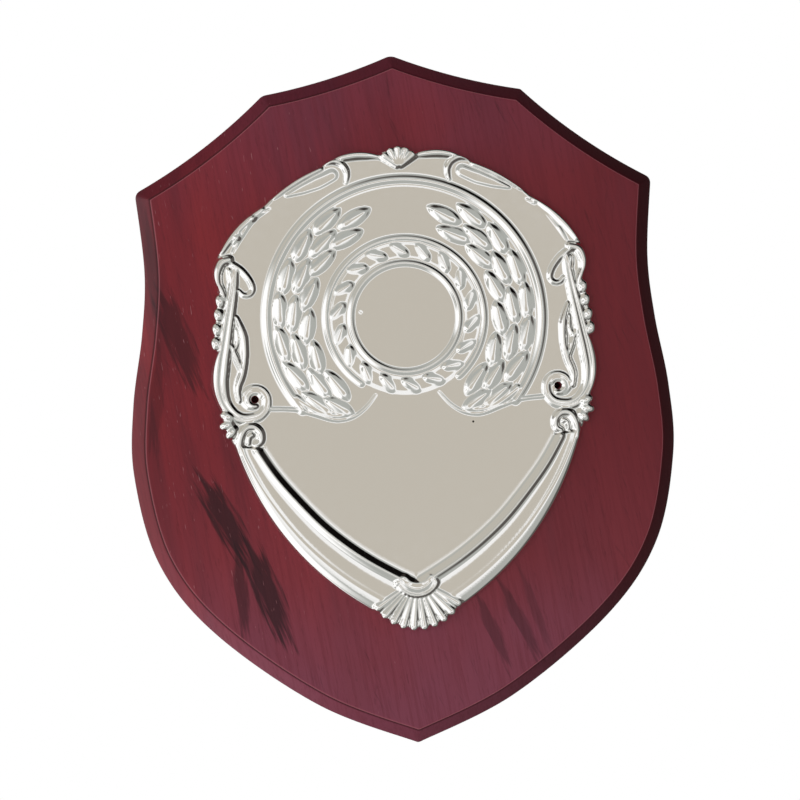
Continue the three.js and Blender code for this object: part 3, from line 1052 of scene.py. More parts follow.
class Relief:
    """Heights of the pressed sheet above its ground, on an even grid of the drawing."""

    # steps along the widest square that a plain stretch is meshed with
    block: int = 8

    def __init__(self, low: Mark, high: Mark, step: float) -> None:
        """Lay out the grid in whole blocks.

        Args:
            low: Its lower left corner.
            high: A point that it reaches, up and to the right.
            step: Distance from one point to the next.
        """
        self.step = step
        counts = [math.ceil((b - a) / step / self.block) * self.block + 1 for a, b in zip(low, high)]
        self.x = low[0] + step * np.arange(counts[0])
        self.y = low[1] + step * np.arange(counts[1])
        self.height = np.zeros((counts[1], counts[0]))

    @property
    def shape(self) -> tuple[int, int]:
        """Rows and columns of the grid."""
        return (len(self.y), len(self.x))

    def window(self, low: np.ndarray, high: np.ndarray) -> tuple[slice, slice]:
        """Find the rows and columns that cover a box of the drawing.

        Args:
            low: The box's lower left corner.
            high: Its upper right corner.

        Returns:
            The rows and the columns.
        """
        columns = np.searchsorted(self.x, (low[0], high[0]))
        rows = np.searchsorted(self.y, (low[1], high[1]))
        return slice(rows[0], rows[1] + 1), slice(columns[0], columns[1] + 1)

    def near(self, path: Path, reach: float) -> tuple[Grid, Grid]:
        """Measure the grid against a drawn line.

        Args:
            path: The line.
            reach: How far from it to measure.

        Returns:
            Distance to the line, infinite past the reach, and the share of its length where it is nearest.
        """
        away = np.full(self.shape, np.inf)
        share = np.zeros(self.shape)
        for k in range(len(path.points) - 1):
            a, b = path.points[k], path.points[k + 1]
            area = self.window(np.minimum(a, b) - reach, np.maximum(a, b) + reach)
            x, y = self.x[area[1]][None, :] - a[0], self.y[area[0]][:, None] - a[1]
            run = b - a
            squared = float(run @ run) or 1e-12
            w = np.clip((x * run[0] + y * run[1]) / squared, 0, 1)
            distance = np.hypot(x - w * run[0], y - w * run[1])
            closer = distance < away[area]
            away[area] = np.where(closer, distance, away[area])
            here = (path.reach[k] + w * math.sqrt(squared)) / path.length
            share[area] = np.where(closer, here, share[area])
        away[away > reach] = np.inf
        return away, share

    def inside(self, outline: np.ndarray) -> Grid:
        """Tell which grid points lie inside a closed outline.

        Args:
            outline: Its corners in order.

        Returns:
            True for each point inside.
        """
        within = np.zeros(self.shape, bool)
        for a, b in zip(outline, np.roll(outline, -1, axis=0)):
            if a[1] == b[1]:
                continue
            low, high = min(a[1], b[1]), max(a[1], b[1])
            rows = slice(*np.searchsorted(self.y, (low, high)))
            crossing = a[0] + (self.y[rows] - a[1]) * (b[0] - a[0]) / (b[1] - a[1])
            within[rows] ^= self.x[None, :] < crossing[:, None]
        return within

    def depth(self, ring: np.ndarray, reach: float) -> Grid:
        """Measure how far inside an outline each grid point lies.

        Args:
            ring: The outline.
            reach: The largest depth to tell apart.

        Returns:
            The depth, negative outside.
        """
        away, _ = self.near(Path(np.concatenate([ring, ring[:1]])), reach)
        return np.where(self.inside(ring), 1, -1) * np.minimum(away, reach)

    def form(self, drawn: Drawn) -> None:
        """Raise a form over what is there, or sink it into that.

        Args:
            drawn: The form.
        """
        for side in drawn.sides:
            away, share = self.near(drawn.line.flipped(side), max(drawn.half) + self.step)
            wide = np.interp(share, np.linspace(0, 1, len(drawn.half)), drawn.half)
            high = np.interp(share, np.linspace(0, 1, len(drawn.height)), drawn.height)
            measured = np.where(np.isfinite(away), away, 1e3)
            pressed = high * drawn.section.fall(measured / np.maximum(wide, 1e-6))
            if max(drawn.height) < 0:
                self.height = self.height + pressed
            else:
                self.height = np.maximum(self.height, pressed)

    def soften(self, radius: float) -> None:
        """Blur the heights, as sheet metal rounds every edge of its tool.

        Args:
            radius: How far the blur reaches.
        """
        reach = max(1, math.ceil(3 * radius / self.step))
        weights = np.exp(-0.5 * (np.arange(-reach, reach + 1) * self.step / radius) ** 2)
        weights /= weights.sum()
        for axis in (0, 1):
            margins = [(reach, reach) if a == axis else (0, 0) for a in (0, 1)]
            padded = np.pad(self.height, margins, mode="edge")
            length = self.height.shape[axis]
            parts = [w * np.take(padded, range(k, k + length), axis=axis) for k, w in enumerate(weights)]
            self.height = np.sum(parts, axis=0)

    def sample(self, values: Grid, points: np.ndarray) -> np.ndarray:
        """Read a grid of values between its points.

        Args:
            values: One value for each grid point.
            points: Where to read, one row each.

        Returns:
            The values there.
        """
        column = np.clip((points[:, 0] - self.x[0]) / self.step, 0, len(self.x) - 1.001)
        row = np.clip((points[:, 1] - self.y[0]) / self.step, 0, len(self.y) - 1.001)
        j, i = column.astype(int), row.astype(int)
        u, v = column - j, row - i
        low = values[i, j] * (1 - u) + values[i, j + 1] * u
        high = values[i + 1, j] * (1 - u) + values[i + 1, j + 1] * u
        return low * (1 - v) + high * v

    def marks(self, tolerance: float) -> Grid:
        """Choose the grid points that a mesh needs, close together only where the sheet curves.

        Args:
            tolerance: How much the slope may turn across one face.

        Returns:
            Which grid points to keep.
        """
        slope_y, slope_x = np.gradient(self.height, self.step)
        turn = np.zeros(self.shape)
        for slope in (slope_x, slope_y):
            for axis in (0, 1):
                turn = np.maximum(turn, np.abs(np.gradient(slope, axis=axis)))
        cells = np.maximum.reduce([turn[:-1, :-1], turn[1:, :-1], turn[:-1, 1:], turn[1:, 1:]])
        keep = np.zeros(self.shape, bool)
        undecided = np.ones(cells.shape, bool)
        size = self.block
        while size >= 1:
            rows, columns = cells.shape[0] // size, cells.shape[1] // size
            steepest = cells.reshape(rows, size, columns, size).max(axis=(1, 3))
            plain = (steepest * size < tolerance) | (size == 1)
            settled = plain & undecided.reshape(rows, size, columns, size).any(axis=(1, 3))
            chosen_rows, chosen_columns = np.nonzero(settled)
            for down in (0, size):
                for across in (0, size):
                    keep[chosen_rows * size + down, chosen_columns * size + across] = True
            undecided &= ~np.repeat(np.repeat(settled, size, axis=0), size, axis=1)
            size //= 2
        return keep


@dataclass(frozen=True)
class Laid:
    """Where one pressing lies.

    Attributes:
        x: Middle of the pressing, across.
        y: Middle of the pressing, up.
        turn: Direction from its base to its tip, in degrees.
        stretch: Its length as a share of the row's.
    """

    x: float
    y: float
    turn: float
    stretch: float = 1.0

    def ends(self, length: float) -> tuple[np.ndarray, np.ndarray]:
        """Find both ends of the pressing.

        Args:
            length: Length of the row's pressings.

        Returns:
            The base and the tip.
        """
        way = np.array([math.cos(math.radians(self.turn)), math.sin(math.radians(self.turn))])
        reach = way * length * self.stretch / 2
        return np.array([self.x, self.y]) - reach, np.array([self.x, self.y]) + reach


@dataclass(frozen=True)
class Row:
    """Equal pressings laid one after another.

    Attributes:
        kind: Which pressing is repeated.
        laid: Where each one lies.
        length: Length of one.
        half: Its half width.
        height: Its height above the ground.
        sides: 1 for the side drawn, -1 for the other side.
    """

    kind: Pressing
    laid: tuple[Laid, ...]
    length: float
    half: float
    height: float
    sides: tuple[int, ...] = (1, -1)

    @staticmethod
    def around(
        centre: Mark, radius: float, first: float, step: float, count: int, lean: float = 0.0
    ) -> tuple[Laid, ...]:
        """Lay pressings out round a centre.

        Args:
            centre: What they run round.
            radius: Distance of each middle from the centre.
            first: Angle of the first, in degrees.
            step: Angle from one to the next.
            count: How many there are.
            lean: Degrees from pointing outwards to where the tip points.

        Returns:
            Where each one lies.
        """
        made = []
        for k in range(count):
            angle = math.radians(first + k * step)
            x, y = centre[0] + radius * math.cos(angle), centre[1] + radius * math.sin(angle)
            made.append(Laid(x, y, first + k * step + lean))
        return tuple(made)

    def outlines(self) -> list[np.ndarray]:
        """Outline every pressing on every side, a little inside its foot.

        Returns:
            One closed ring for each.
        """
        s = np.linspace(0, 1, 15)
        wide = self.kind.width(s) * self.half * 0.92
        made = []
        for spot in self.laid:
            start, end = spot.ends(self.length)
            along = (end - start) / np.hypot(*(end - start))
            across = np.array([-along[1], along[0]])
            spine = start + (end - start) * s[:, None]
            ring = np.concatenate([spine + across * wide[:, None], (spine - across * wide[:, None])[::-1]])
            made += [ring * (side, 1) for side in self.sides]
        return made


class PressTool:
    """The tool that carries the repeated forms, laid out by one node tree."""

    def __init__(self) -> None:
        """Build the layout tree."""
        self.layout = self.layout_tree()

    @staticmethod
    def layout_tree() -> bpy.types.NodeTree:
        """Build the tree that lays a pressing on every point of a row.

        Returns:
            The tree, with named inputs for the pressing and its sizes.
        """
        tree = bpy.data.node_groups.new("row_of_pressings", "GeometryNodeTree")
        sockets = (
            ("Row", "NodeSocketGeometry"), ("Pressing", "NodeSocketObject"), ("Width", "NodeSocketFloat"),
            ("Height", "NodeSocketFloat"), ("Finish", "NodeSocketMaterial"),
        )  # fmt: skip
        for name, kind in sockets:
            tree.interface.new_socket(name, in_out="INPUT", socket_type=kind)
        tree.interface.new_socket("Geometry", in_out="OUTPUT", socket_type="NodeSocketGeometry")
        given = add_node(tree, "NodeGroupInput").outputs
        turn, stretch = (
            add_node(tree, "GeometryNodeInputNamedAttribute", {"Name": name}, data_type="FLOAT").outputs[0]
            for name in ("turn", "stretch")
        )
        rotation = add_node(tree, "ShaderNodeCombineXYZ", {"Z": turn}).outputs[0]
        scale = add_node(
            tree, "ShaderNodeCombineXYZ", {"X": stretch, "Y": given["Width"], "Z": given["Height"]}
        ).outputs[0]
        shape = add_node(tree, "GeometryNodeObjectInfo", {"Object": given["Pressing"]}).outputs["Geometry"]
        laid = add_node(
            tree,
            "GeometryNodeInstanceOnPoints",
            {"Points": given["Row"], "Instance": shape, "Rotation": rotation, "Scale": scale},
        ).outputs[0]
        real = add_node(tree, "GeometryNodeRealizeInstances", {"Geometry": laid}).outputs[0]
        dressed = add_node(
            tree, "GeometryNodeSetMaterial", {"Geometry": real, "Material": given["Finish"]}
        ).outputs[0]
        add_node(tree, "NodeGroupOutput", {"Geometry": dressed})
        return tree

    @staticmethod
    def pressing(kind: Pressing, lengthwise: int = 26, across: int = 14) -> bpy.types.Object:
        """Model one pressing, lying along +X about the origin, one unit long, half wide and high.

        Args:
            kind: Which one.
            lengthwise: Faces along it.
            across: Faces across it.

        Returns:
            The helper object.
        """
        s = np.linspace(0, 1, lengthwise + 1)[:, None]
        t = np.linspace(-1, 1, across + 1)[None, :]
        grid = (lengthwise + 1, across + 1)
        x = np.broadcast_to(s - 0.5, grid)
        y = t * kind.width(s)
        z = np.broadcast_to(kind.rise(s, t), grid)
        points = np.stack([x, y, z], axis=-1).reshape(-1, 3)
        count = across + 1
        faces = [
            (i * count + j, (i + 1) * count + j, (i + 1) * count + j + 1, i * count + j + 1)
            for i in range(lengthwise)
            for j in range(across)
        ]
        return mesh_object(f"pressing_{kind.name.lower()}", points / MM, faces)

    def lay(self, row: Row, finish: bpy.types.Material) -> tuple[np.ndarray, np.ndarray]:
        """Lay one row out and read its triangles.

        Args:
            row: The row.
            finish: Material that the tree sets.

        Returns:
            Its points in millimetres of the drawing, and its triangles.
        """
        shape = self.pressing(row.kind)
        carrier = mesh_object("row_carrier", np.array([(spot.x, spot.y, 0.0) for spot in row.laid]) / MM, [])
        for name, values in (
            ("turn", [math.radians(spot.turn) for spot in row.laid]),
            ("stretch", [spot.stretch * row.length for spot in row.laid]),
        ):
            carrier.data.attributes.new(name, "FLOAT", "POINT").data.foreach_set("value", values)
        rows = carrier.modifiers.new("row", "NODES")
        rows.node_group = self.layout
        inputs = {"Pressing": shape, "Width": row.half, "Height": row.height, "Finish": finish}
        for item in self.layout.interface.items_tree:
            if item.item_type == "SOCKET" and item.in_out == "INPUT" and item.name in inputs:
                rows[item.identifier] = inputs[item.name]
        mesh = baked(carrier)
        mesh.calc_loop_triangles()
        points = np.zeros(len(mesh.vertices) * 3, np.float32)
        mesh.vertices.foreach_get("co", points)
        triangles = np.zeros(len(mesh.loop_triangles) * 3, np.int32)
        mesh.loop_triangles.foreach_get("vertices", triangles)
        bpy.data.meshes.remove(mesh)
        carrier.modifiers.remove(rows)
        discard([carrier, shape])
        return points.reshape(-1, 3).astype(float), triangles.reshape(-1, 3)

    def press(self, relief: Relief, rows: Sequence[Row], finish: bpy.types.Material) -> None:
        """Press rows of small forms into the relief.

        Args:
            relief: What takes them.
            rows: The rows.
            finish: Material that the tree sets.
        """
        points, triangles, start = [], [], 0
        for row in rows:
            laid, faces = self.lay(row, finish)
            for side in row.sides:
                points.append(laid * (side, 1, 1))
                triangles.append(faces + start)
                start += len(laid)
        shape = np.concatenate(points)
        tool = BVHTree.FromPolygons(shape.tolist(), np.concatenate(triangles).tolist())
        near = np.zeros(relief.shape, bool)
        reach, high = 2, 20.0
        corner = (relief.y[0], relief.x[0])
        row_at, column_at = (
            np.clip(((shape[:, 1 - k] - corner[k]) / relief.step).astype(int), reach + 1, count - reach - 2)
            for k, count in enumerate(relief.shape)
        )
        for down in range(-reach, reach + 1):
            for across in range(-reach, reach + 1):
                near[row_at + down, column_at + across] = True
        down_ray = Vector((0, 0, -1))
        for i, j in zip(*np.nonzero(near)):
            hit = tool.ray_cast(Vector((relief.x[j], relief.y[i], high)), down_ray)[0]
            if hit is not None and hit.z > relief.height[i, j]:
                relief.height[i, j] = hit.z


@dataclass
class PressedFront:
    """The pressed silver front: rings, laurel, garland, scrolls, shells and a bare label field in one sheet.

    It is drawn upright about x = 0 and then tilted about its middle and shifted to where it sits on the
    board. Each corner has the bow of the edge that ends there, and heights are above the sheet's ground.
    """

    middle: float = 2.6
    shift: float = 0.4
    tilt: float = 0.34
    stand_off: float = 12.3
    sheet: float = 0.9
    skirt: float = 0.25
    highest: float = 2.14
    step: float = 0.22
    reach_low: Mark = (-46.64, -56.1)
    reach_high: Mark = (46.64, 60.8)
    tool_round: float = 0.15
    sheet_round: float = 0.12
    edge_roll: float = 0.7
    edge_share: float = 0.1
    slope_turn: float = 0.09
    corners: tuple[tuple[float, float, float], ...] = (
        (0, 56.8, 0), (4.2, 56.9, 0), (17.2, 54.5, 1.7), (30.6, 46.1, 0.85), (42.3, 34, 1.65),
        (42.4, 27.4, 0.95), (42.7, 13.6, -0.35), (42.7, -0.8, 1.95), (40.3, -8.5, 0.2), (9, -48.9, 5),
        (0, -51, 0),
    )  # fmt: skip
    rings_at: Mark = (0.3, 18.95)
    disc_bead: float = 12.5
    garland: float = 15.6
    garland_lean: float = -124.0
    inner_bead: float = 18.25
    wreath_line: float = 29.95
    outer_bead: float = 31.75
    crest_at: Mark = (0.4, 53.3)
    fan_at: Mark = (0.2, -41.2)
    volute_at: Mark = (-38.6, -3.2)
    pin: Mark = (34.95, 1.7)
    pin_hole: float = 1.8
    hole_flare: float = 1.7
    label_foot: tuple[Mark, ...] = (
        (33.6, -9.6), (30.0, -15.3), (25.0, -21.5), (20.0, -27.0), (15.0, -31.4), (10.0, -35.1),
        (5.0, -38.2), (0.0, -41.0),
    )  # fmt: skip
    label_fall: float = 1.65
    crest_rise: float = 1.12
    foot_width: float = 1.3
    foot_rise: float = 0.19
    border_reach: float = 14.0
    border_at: tuple[float, ...] = (0.0, 0.04, 0.18, 0.31, 0.37, 0.48, 0.66, 0.74, 0.86, 0.93, 0.98, 1.0)
    border_rise: tuple[float, ...] = (0.0, 0.2, 0.6, 0.74, 0.74, 0.58, 0.46, 0.45, 0.52, 0.8, 1.05, 1.12)
    laurel: tuple[Laid, ...] = (
        Laid(-10.4, 42.05, 29, 1.0), Laid(-16.7, 41.65, 41, 0.98), Laid(-12.55, 37.45, 24, 1.02),
        Laid(-17.85, 36.6, 43, 0.98), Laid(-18.25, 32.25, 41, 0.98), Laid(-22.5, 36.25, 61, 0.96),
        Laid(-22.9, 29.4, 65, 0.98), Laid(-26.5, 29.4, 74, 1.0), Laid(-21.45, 25.1, 62, 0.98),
        Laid(-28.35, 21.75, 88, 1.0), Laid(-25.2, 20.8, 80, 1.0), Laid(-22.15, 17.8, 79, 0.98),
        Laid(-28.2, 14.2, 104, 1.04), Laid(-24.5, 12.2, 104, 1.0), Laid(-20.45, 10.6, 100, 0.96),
        Laid(-25.5, 6.6, 129, 1.02), Laid(-20.1, 4.7, 124, 0.96), Laid(-16.05, 4.05, 126, 1.02),
        Laid(-20.65, 0.0, 141, 1.04), Laid(-15.95, -0.9, 146, 0.96),
    )  # fmt: skip
    beads: tuple[Laid, ...] = (
        Laid(41.8, 24.4, 84), Laid(42.3, 21.3, 86), Laid(42.8, 18.0, 84), Laid(43.2, 14.8, 88),
    )  # fmt: skip
    finish: SilverSheet = field(default_factory=SilverSheet)

    def tilted(self, x: Any, y: Any) -> tuple[Any, Any]:
        """Tilt a direction of the drawing, or many, as the front is tilted.

        Args:
            x: Across the drawing.
            y: Up the drawing.

        Returns:
            Across and up the board.
        """
        turn = math.radians(self.tilt)
        return x * math.cos(turn) - y * math.sin(turn), x * math.sin(turn) + y * math.cos(turn)

    def pin_marks(self) -> list[Mark]:
        """Return where the two pins go, on the drawing."""
        return [(side * self.pin[0], self.pin[1]) for side in (-1, 1)]

    def pins(self) -> list[Mark]:
        """Find where the two pins go, on the board.

        Returns:
            The left one and the right one.
        """
        places = [self.tilted(x, y - self.middle) for x, y in self.pin_marks()]
        return [(self.shift + x, self.middle + y) for x, y in places]

    def edge_runs(self) -> list[Path]:
        """Draw the edges of the right half of the outline.

        Returns:
            The edges from the top down.
        """
        runs = []
        for (ax, ay, _), (bx, by, bow) in zip(self.corners, self.corners[1:]):
            steps = 1 if bow == 0 else max(6, round(math.hypot(bx - ax, by - ay) / 0.8))
            runs.append(Path.bowed((ax, ay), (bx, by), bow, steps))
        return runs

    def outline(self) -> np.ndarray:
        """Draw the outline of the sheet without the shells and beads that reach past it.

        Returns:
            Its points, all the way round.
        """
        runs = self.edge_runs()
        right = np.concatenate([run.points[:-1] for run in runs] + [runs[-1].points[-1:]])
        left = (right * (-1, 1))[::-1]
        return np.concatenate([right, left[1:-1]])

    def rows(self) -> list[Row]:
        """List every row of pressings.

        Returns:
            The rows of leaves, and those of the shells and beads.
        """
        garland = Row.around(self.rings_at, self.garland, 92.7, 20, 18, self.garland_lean)
        return [
            Row(Pressing.LAUREL, self.laurel, 8.8, 1.75, 0.57),
            Row(Pressing.GARLAND, garland, 5.9, 1.5, 0.62, (1,)),
            *self.shells(),
        ]

    def shells(self) -> list[Row]:
        """List the rows that reach past the sheet's outline.

        Returns:
            The crest shell, the toe fan, the beads outside the lower volutes and the edge beads.
        """
        return [
            Row(Pressing.FLUTE, Row.around(self.crest_at, 2.75, 138, -24, 5), 5.1, 1.3, 1.2, (1,)),
            Row(Pressing.FLUTE, Row.around(self.fan_at, 8.0, 213, 114 / 9, 10), 8.4, 1.4, 1.1, (1,)),
            Row(Pressing.BEAD, Row.around(self.volute_at, 3.1, 155, 37.5, 3), 3.8, 1.3, 0.95),
            Row(Pressing.BEAD, self.beads, 3.5, 1.35, 0.95),
        ]

    def rings(self) -> list[Drawn]:
        """Draw the beads and bands round the disc and the wreath.

        Returns:
            The forms.
        """
        whole, over_label = (0.0, 360.0), (-39.5, 219.5)
        made = []
        for radius, degrees, steps, half, height, section in (
            (self.garland, whole, 180, 2.2, 0.16, Section.FLAT),
            (self.disc_bead, whole, 180, 0.95, 0.36, Section.SOFT),
            (self.inner_bead, (-50.0, 234.0), 150, 0.9, 0.32, Section.SOFT),
            (self.outer_bead, over_label, 180, 1.3, 0.4, Section.SOFT),
            (self.wreath_line, over_label, 180, 0.4, 0.1, Section.SOFT),
        ):
            line = Path.arc(self.rings_at, (radius, radius), degrees, steps)
            made.append(Drawn(line, (half,), (height,), section, (1,)))
        return made

    def scrolls(self) -> list[Drawn]:
        """Draw the bars, volutes, ears and curls of both sides, and the cap over the toe fan.

        Returns:
            The forms.
        """
        bar = [
            (38.1, 31.6), (38.6, 28), (39.1, 25), (40.1, 20), (41.1, 15), (42.1, 10), (42.6, 5.5),
            (42, 1.6), (40.2, -1.2), (38.2, -2.5), (36, -2.6), (33.8, -1.9), (32.4, -0.2), (32.2, 2.1),
            (33.3, 3.8), (35.2, 4.3), (37, 3.4), (37.5, 1.6), (36.7, 0.3), (35.4, -0.1),
        ]  # fmt: skip
        bar_half = (0.8, 1.1, 1.3, 1.5, 1.75, 1.9, 1.7, 1.3, 1.15, 1.0, 0.8, 0.6, 0.45)
        bar_height = (0.6, 0.7, 0.8, 0.9, 0.95, 0.95, 0.8, 0.6, 0.5, 0.45, 0.42, 0.38, 0.3)
        roll = [
            (38.9, -10.4), (38.7, -7.2), (37.5, -4.9), (35.6, -4.5), (34.1, -5.8), (34, -7.8), (35.2, -8.7),
        ]  # fmt: skip
        roll_eye = [(36.9, -8.3), (36.7, -6.8), (35.9, -6.3)]
        ear = [(39.8, 33.4), (37, 31.6), (35, 29.2), (34.2, 27), (34.9, 25.7), (36.4, 25.6), (37.4, 26.6)]
        notch = [(39.4, 31.4), (39.15, 29.2)]
        shoulder = [(39.2, 33.8), (41.1, 33.1), (42.1, 30.9), (42.1, 28.6), (41.2, 26.6), (40.6, 24.6)]
        plume = [(38.2, 20.6), (36.9, 16.5), (36.7, 12), (37.4, 8), (38.6, 4.6), (38.4, 1.6)]
        plume_rib = [(39.6, 14.2), (38.6, 11.2), (37.7, 8.4)]
        plume_vein = [(38.4, 17.8), (38.2, 15.2), (39.3, 12.4)]
        stem = [(25.5, 1.5), (21, -1.6), (16.5, -2.9), (13.2, -2.4)]
        label = [
            (31.4, -0.6), (26, -1.0), (22, -2.2), (18, -3.6), (15.5, -3.9), (12.5, -3.2), (9.6, -1.2),
            (7.2, 1.6),
        ]  # fmt: skip
        eye = Path.arc(self.pin, (1.75, 1.55), (150, -100), 30)
        toe_cap = Path.arc((0.2, -39.2), (3.9, 3.9), (216, 324))
        cap_end = Path(np.array([(4.6, -42.1), (4.3, -41.6)]))
        made = [
            Drawn(Path.through(bar, 150), bar_half, bar_height, Section.TWIN),
            Drawn(eye, (0.55, 0.5), (0.3, 0.5)),
            Drawn(cap_end, (0.75,), (1.1,)),
            Drawn(toe_cap, (2.0,), (0.98,), Section.FLAT, (1,)),
            Drawn(Path.through(label), (0.4, 0.4, 0.3), (0.34, 0.34, 0.15), Section.SOFT),
        ]
        for marks, half, height in (
            (roll, (0.7, 1.0, 0.9, 0.7), (0.7, 0.85, 0.8, 0.6)),
            (roll_eye, (0.55, 0.6), (0.5, 0.6)),
            (ear, (0.6, 0.6, 0.5, 0.4), (0.6, 0.55, 0.5, 0.35)),
            (notch, (0.45,), (0.5,)),
            (shoulder, (0.9, 1.15, 1.0, 0.8, 0.5), (0.9, 1.0, 0.9, 0.6)),
            (plume, (0.35, 0.85, 0.7, 0.8, 0.4), (0.7,)),
            (plume_rib, (0.3, 0.7, 0.4), (0.6,)),
            (plume_vein, (0.3, 0.5, 0.3), (0.4,)),
            (stem, (0.9, 0.6), (0.4, 0.3)),
        ):
            made.append(Drawn(Path.through(marks), half, height))
        for radius, half, height in ((5.2, 0.6, 1.1), (3.7, 0.5, 1.15)):
            line = Path.arc((0.2, -39.7), (radius, radius), (214, 326))
            made.append(Drawn(line, (half,), (height,), Section.ROUND, (1,)))
        return made

    def crest(self) -> list[Drawn]:
        """Draw the arches and lobes beside the crest, the shoulders' rolls and the pimple in the disc field.

        Returns:
            The forms, in the order in which they are pressed.
        """
        arch = Path.through([(3.9, 55.9), (6.4, 56.5), (9.2, 56.7), (12.2, 56.3), (15.2, 55.2)])
        curl = Path.through([(16.6, 55), (14.4, 55.3), (12.4, 54.3), (11.5, 52.4), (11.9, 50.2)])
        lobe = Path.through([(25.6, 47.9), (21.5, 49.4), (17.6, 50.9), (15.0, 52.1)])
        under_lobe = Path.through([(30, 46.2), (22, 47.5), (15, 48.9), (12.3, 50.6)])
        brow = Path.through([(17.5, 53.7), (23, 51.1), (28.5, 47.6)])
        shoulder = Path.through([(31.2, 45), (35.3, 41.9), (38.6, 38.6), (40.9, 35.6)])
        fold = Path.through([(29.5, 44.9), (33.2, 42.9), (36.2, 39.2), (38.4, 35.2)])
        right_crease = Path.through([(31.8, 43.9), (34.4, 41.7), (36.6, 38.8)])
        left_lumps = (((32.4, 43.6), (34.6, 42.3)), ((36.4, 39.9), (38.2, 37.4)))
        pimple = Path(np.array([(-9.95, 20.5), (-9.75, 20.5)]))
        return [
            Drawn(arch, (0.5, 1.1, 1.25, 1.1, 0.5), (0.35, 0.7, 0.85, 0.7, 0.35)),
            Drawn(curl, (0.5, 0.65, 0.55, 0.3), (0.55, 0.7, 0.6, 0.3)),
            Drawn(lobe, (0.4, 1.3, 1.75, 1.5), (0.26,), Section.FLAT),
            Drawn(under_lobe, (0.5,), (-0.3,), Section.SOFT),
            Drawn(brow, (0.5, 0.8, 0.5), (0.4, 0.5, 0.35)),
            Drawn(shoulder, (0.5, 0.8, 0.8, 0.6), (0.35, 0.55, 0.55, 0.45)),
            Drawn(fold, (0.3, 0.7, 0.7, 0.3), (0.15, 0.4, 0.4, 0.15), Section.FOLD),
            Drawn(right_crease, (0.6,), (-0.32,), Section.SOFT, (1,)),
            *(
                Drawn(Path(np.array(ends)), (0.3, 0.8, 0.3), (0.3, 0.8, 0.3), Section.ROUND, (-1,))
                for ends in left_lumps
            ),
            Drawn(pimple, (0.3,), (0.12,), Section.ROUND, (1,)),
        ]

    def press_border(self, relief: Relief) -> None:
        """Raise the moulding round the lower edge: a roll, a cove and a crest that falls to the label.

        Args:
            relief: What takes it.
        """
        foot = Path.through(self.label_foot)
        # The long edge from the lower scroll to the toe.
        edge = self.edge_runs()[-2]
        for side in (1, -1):
            band = np.concatenate([edge.flipped(side).points, foot.flipped(side, back=True).points])
            within = relief.inside(band)
            from_edge, _ = relief.near(edge.flipped(side), self.border_reach)
            from_foot, _ = relief.near(foot.flipped(side), self.border_reach)
            known = np.isfinite(from_edge) & np.isfinite(from_foot) & within
            width = np.where(known, from_edge + from_foot, 1.0)
            to_crest = np.maximum(width - self.label_fall, 0.4)
            moulded = np.interp(np.where(known, from_edge, 0.0) / to_crest, self.border_at, self.border_rise)
            climb = np.where(known, from_foot, 0) / self.label_fall
            fall = self.foot_rise + (self.crest_rise - self.foot_rise) * climb
            relief.height = np.maximum(relief.height, np.where(known, np.minimum(moulded, fall), 0.0))
            before = np.where(np.isfinite(from_foot) & ~within, from_foot, self.foot_width)
            ramp = self.foot_rise * np.clip(1 - before / self.foot_width, 0, 1)
            across = np.abs(relief.x[None, :]) < self.label_foot[0][0]
            label = across & (relief.y[:, None] > self.label_foot[-1][1])
            relief.height = np.maximum(relief.height, np.where(label, ramp, 0.0))

    def relief(self, tool: PressTool, finish: bpy.types.Material) -> tuple[Relief, Grid]:
        """Work out the heights of the whole front.

        Args:
            tool: The press tool.
            finish: Material of the front.

        Returns:
            The relief above the sheet's back, and how far inside the edge each grid point lies.
        """
        relief = Relief(self.reach_low, self.reach_high, self.step)
        for drawn in (*self.rings(), *self.scrolls(), *self.crest()):
            relief.form(drawn)
        self.press_border(relief)
        tool.press(relief, self.rows(), finish)
        relief.soften(self.tool_round)
        depth = relief.depth(self.outline(), 1.2)
        roll = np.clip(depth / self.edge_roll, 0, 1)
        # Shells and beads roll in over a shorter way than the sheet's own edge.
        for row in self.shells():
            for ring in row.outlines():
                within = relief.depth(ring, 0.9)
                depth = np.maximum(depth, within)
                roll = np.maximum(roll, np.clip((within + 0.1) / 0.45, 0, 1))
        rolled = np.sqrt(np.clip(1 - (1 - roll) ** 2, 0, 1))
        relief.height = (self.sheet + relief.height) * (self.edge_share + (1 - self.edge_share) * rolled)
        relief.soften(self.sheet_round)
        relief.height = np.minimum(relief.height, self.highest)
        return relief, depth

    def plan(self, relief: Relief, depth: Grid) -> tuple[np.ndarray, np.ndarray]:
        """Triangulate the front as drawn.

        Args:
            relief: The heights.
            depth: How far inside the edge each grid point lies.

        Returns:
            Points of the drawing, and triangles.
        """
        outlines = [self.outline(), *(ring for row in self.shells() for ring in row.outlines())]
        radius = self.pin_hole / 2
        holes = [circle(mark, radius, 28) for mark in self.pin_marks()]
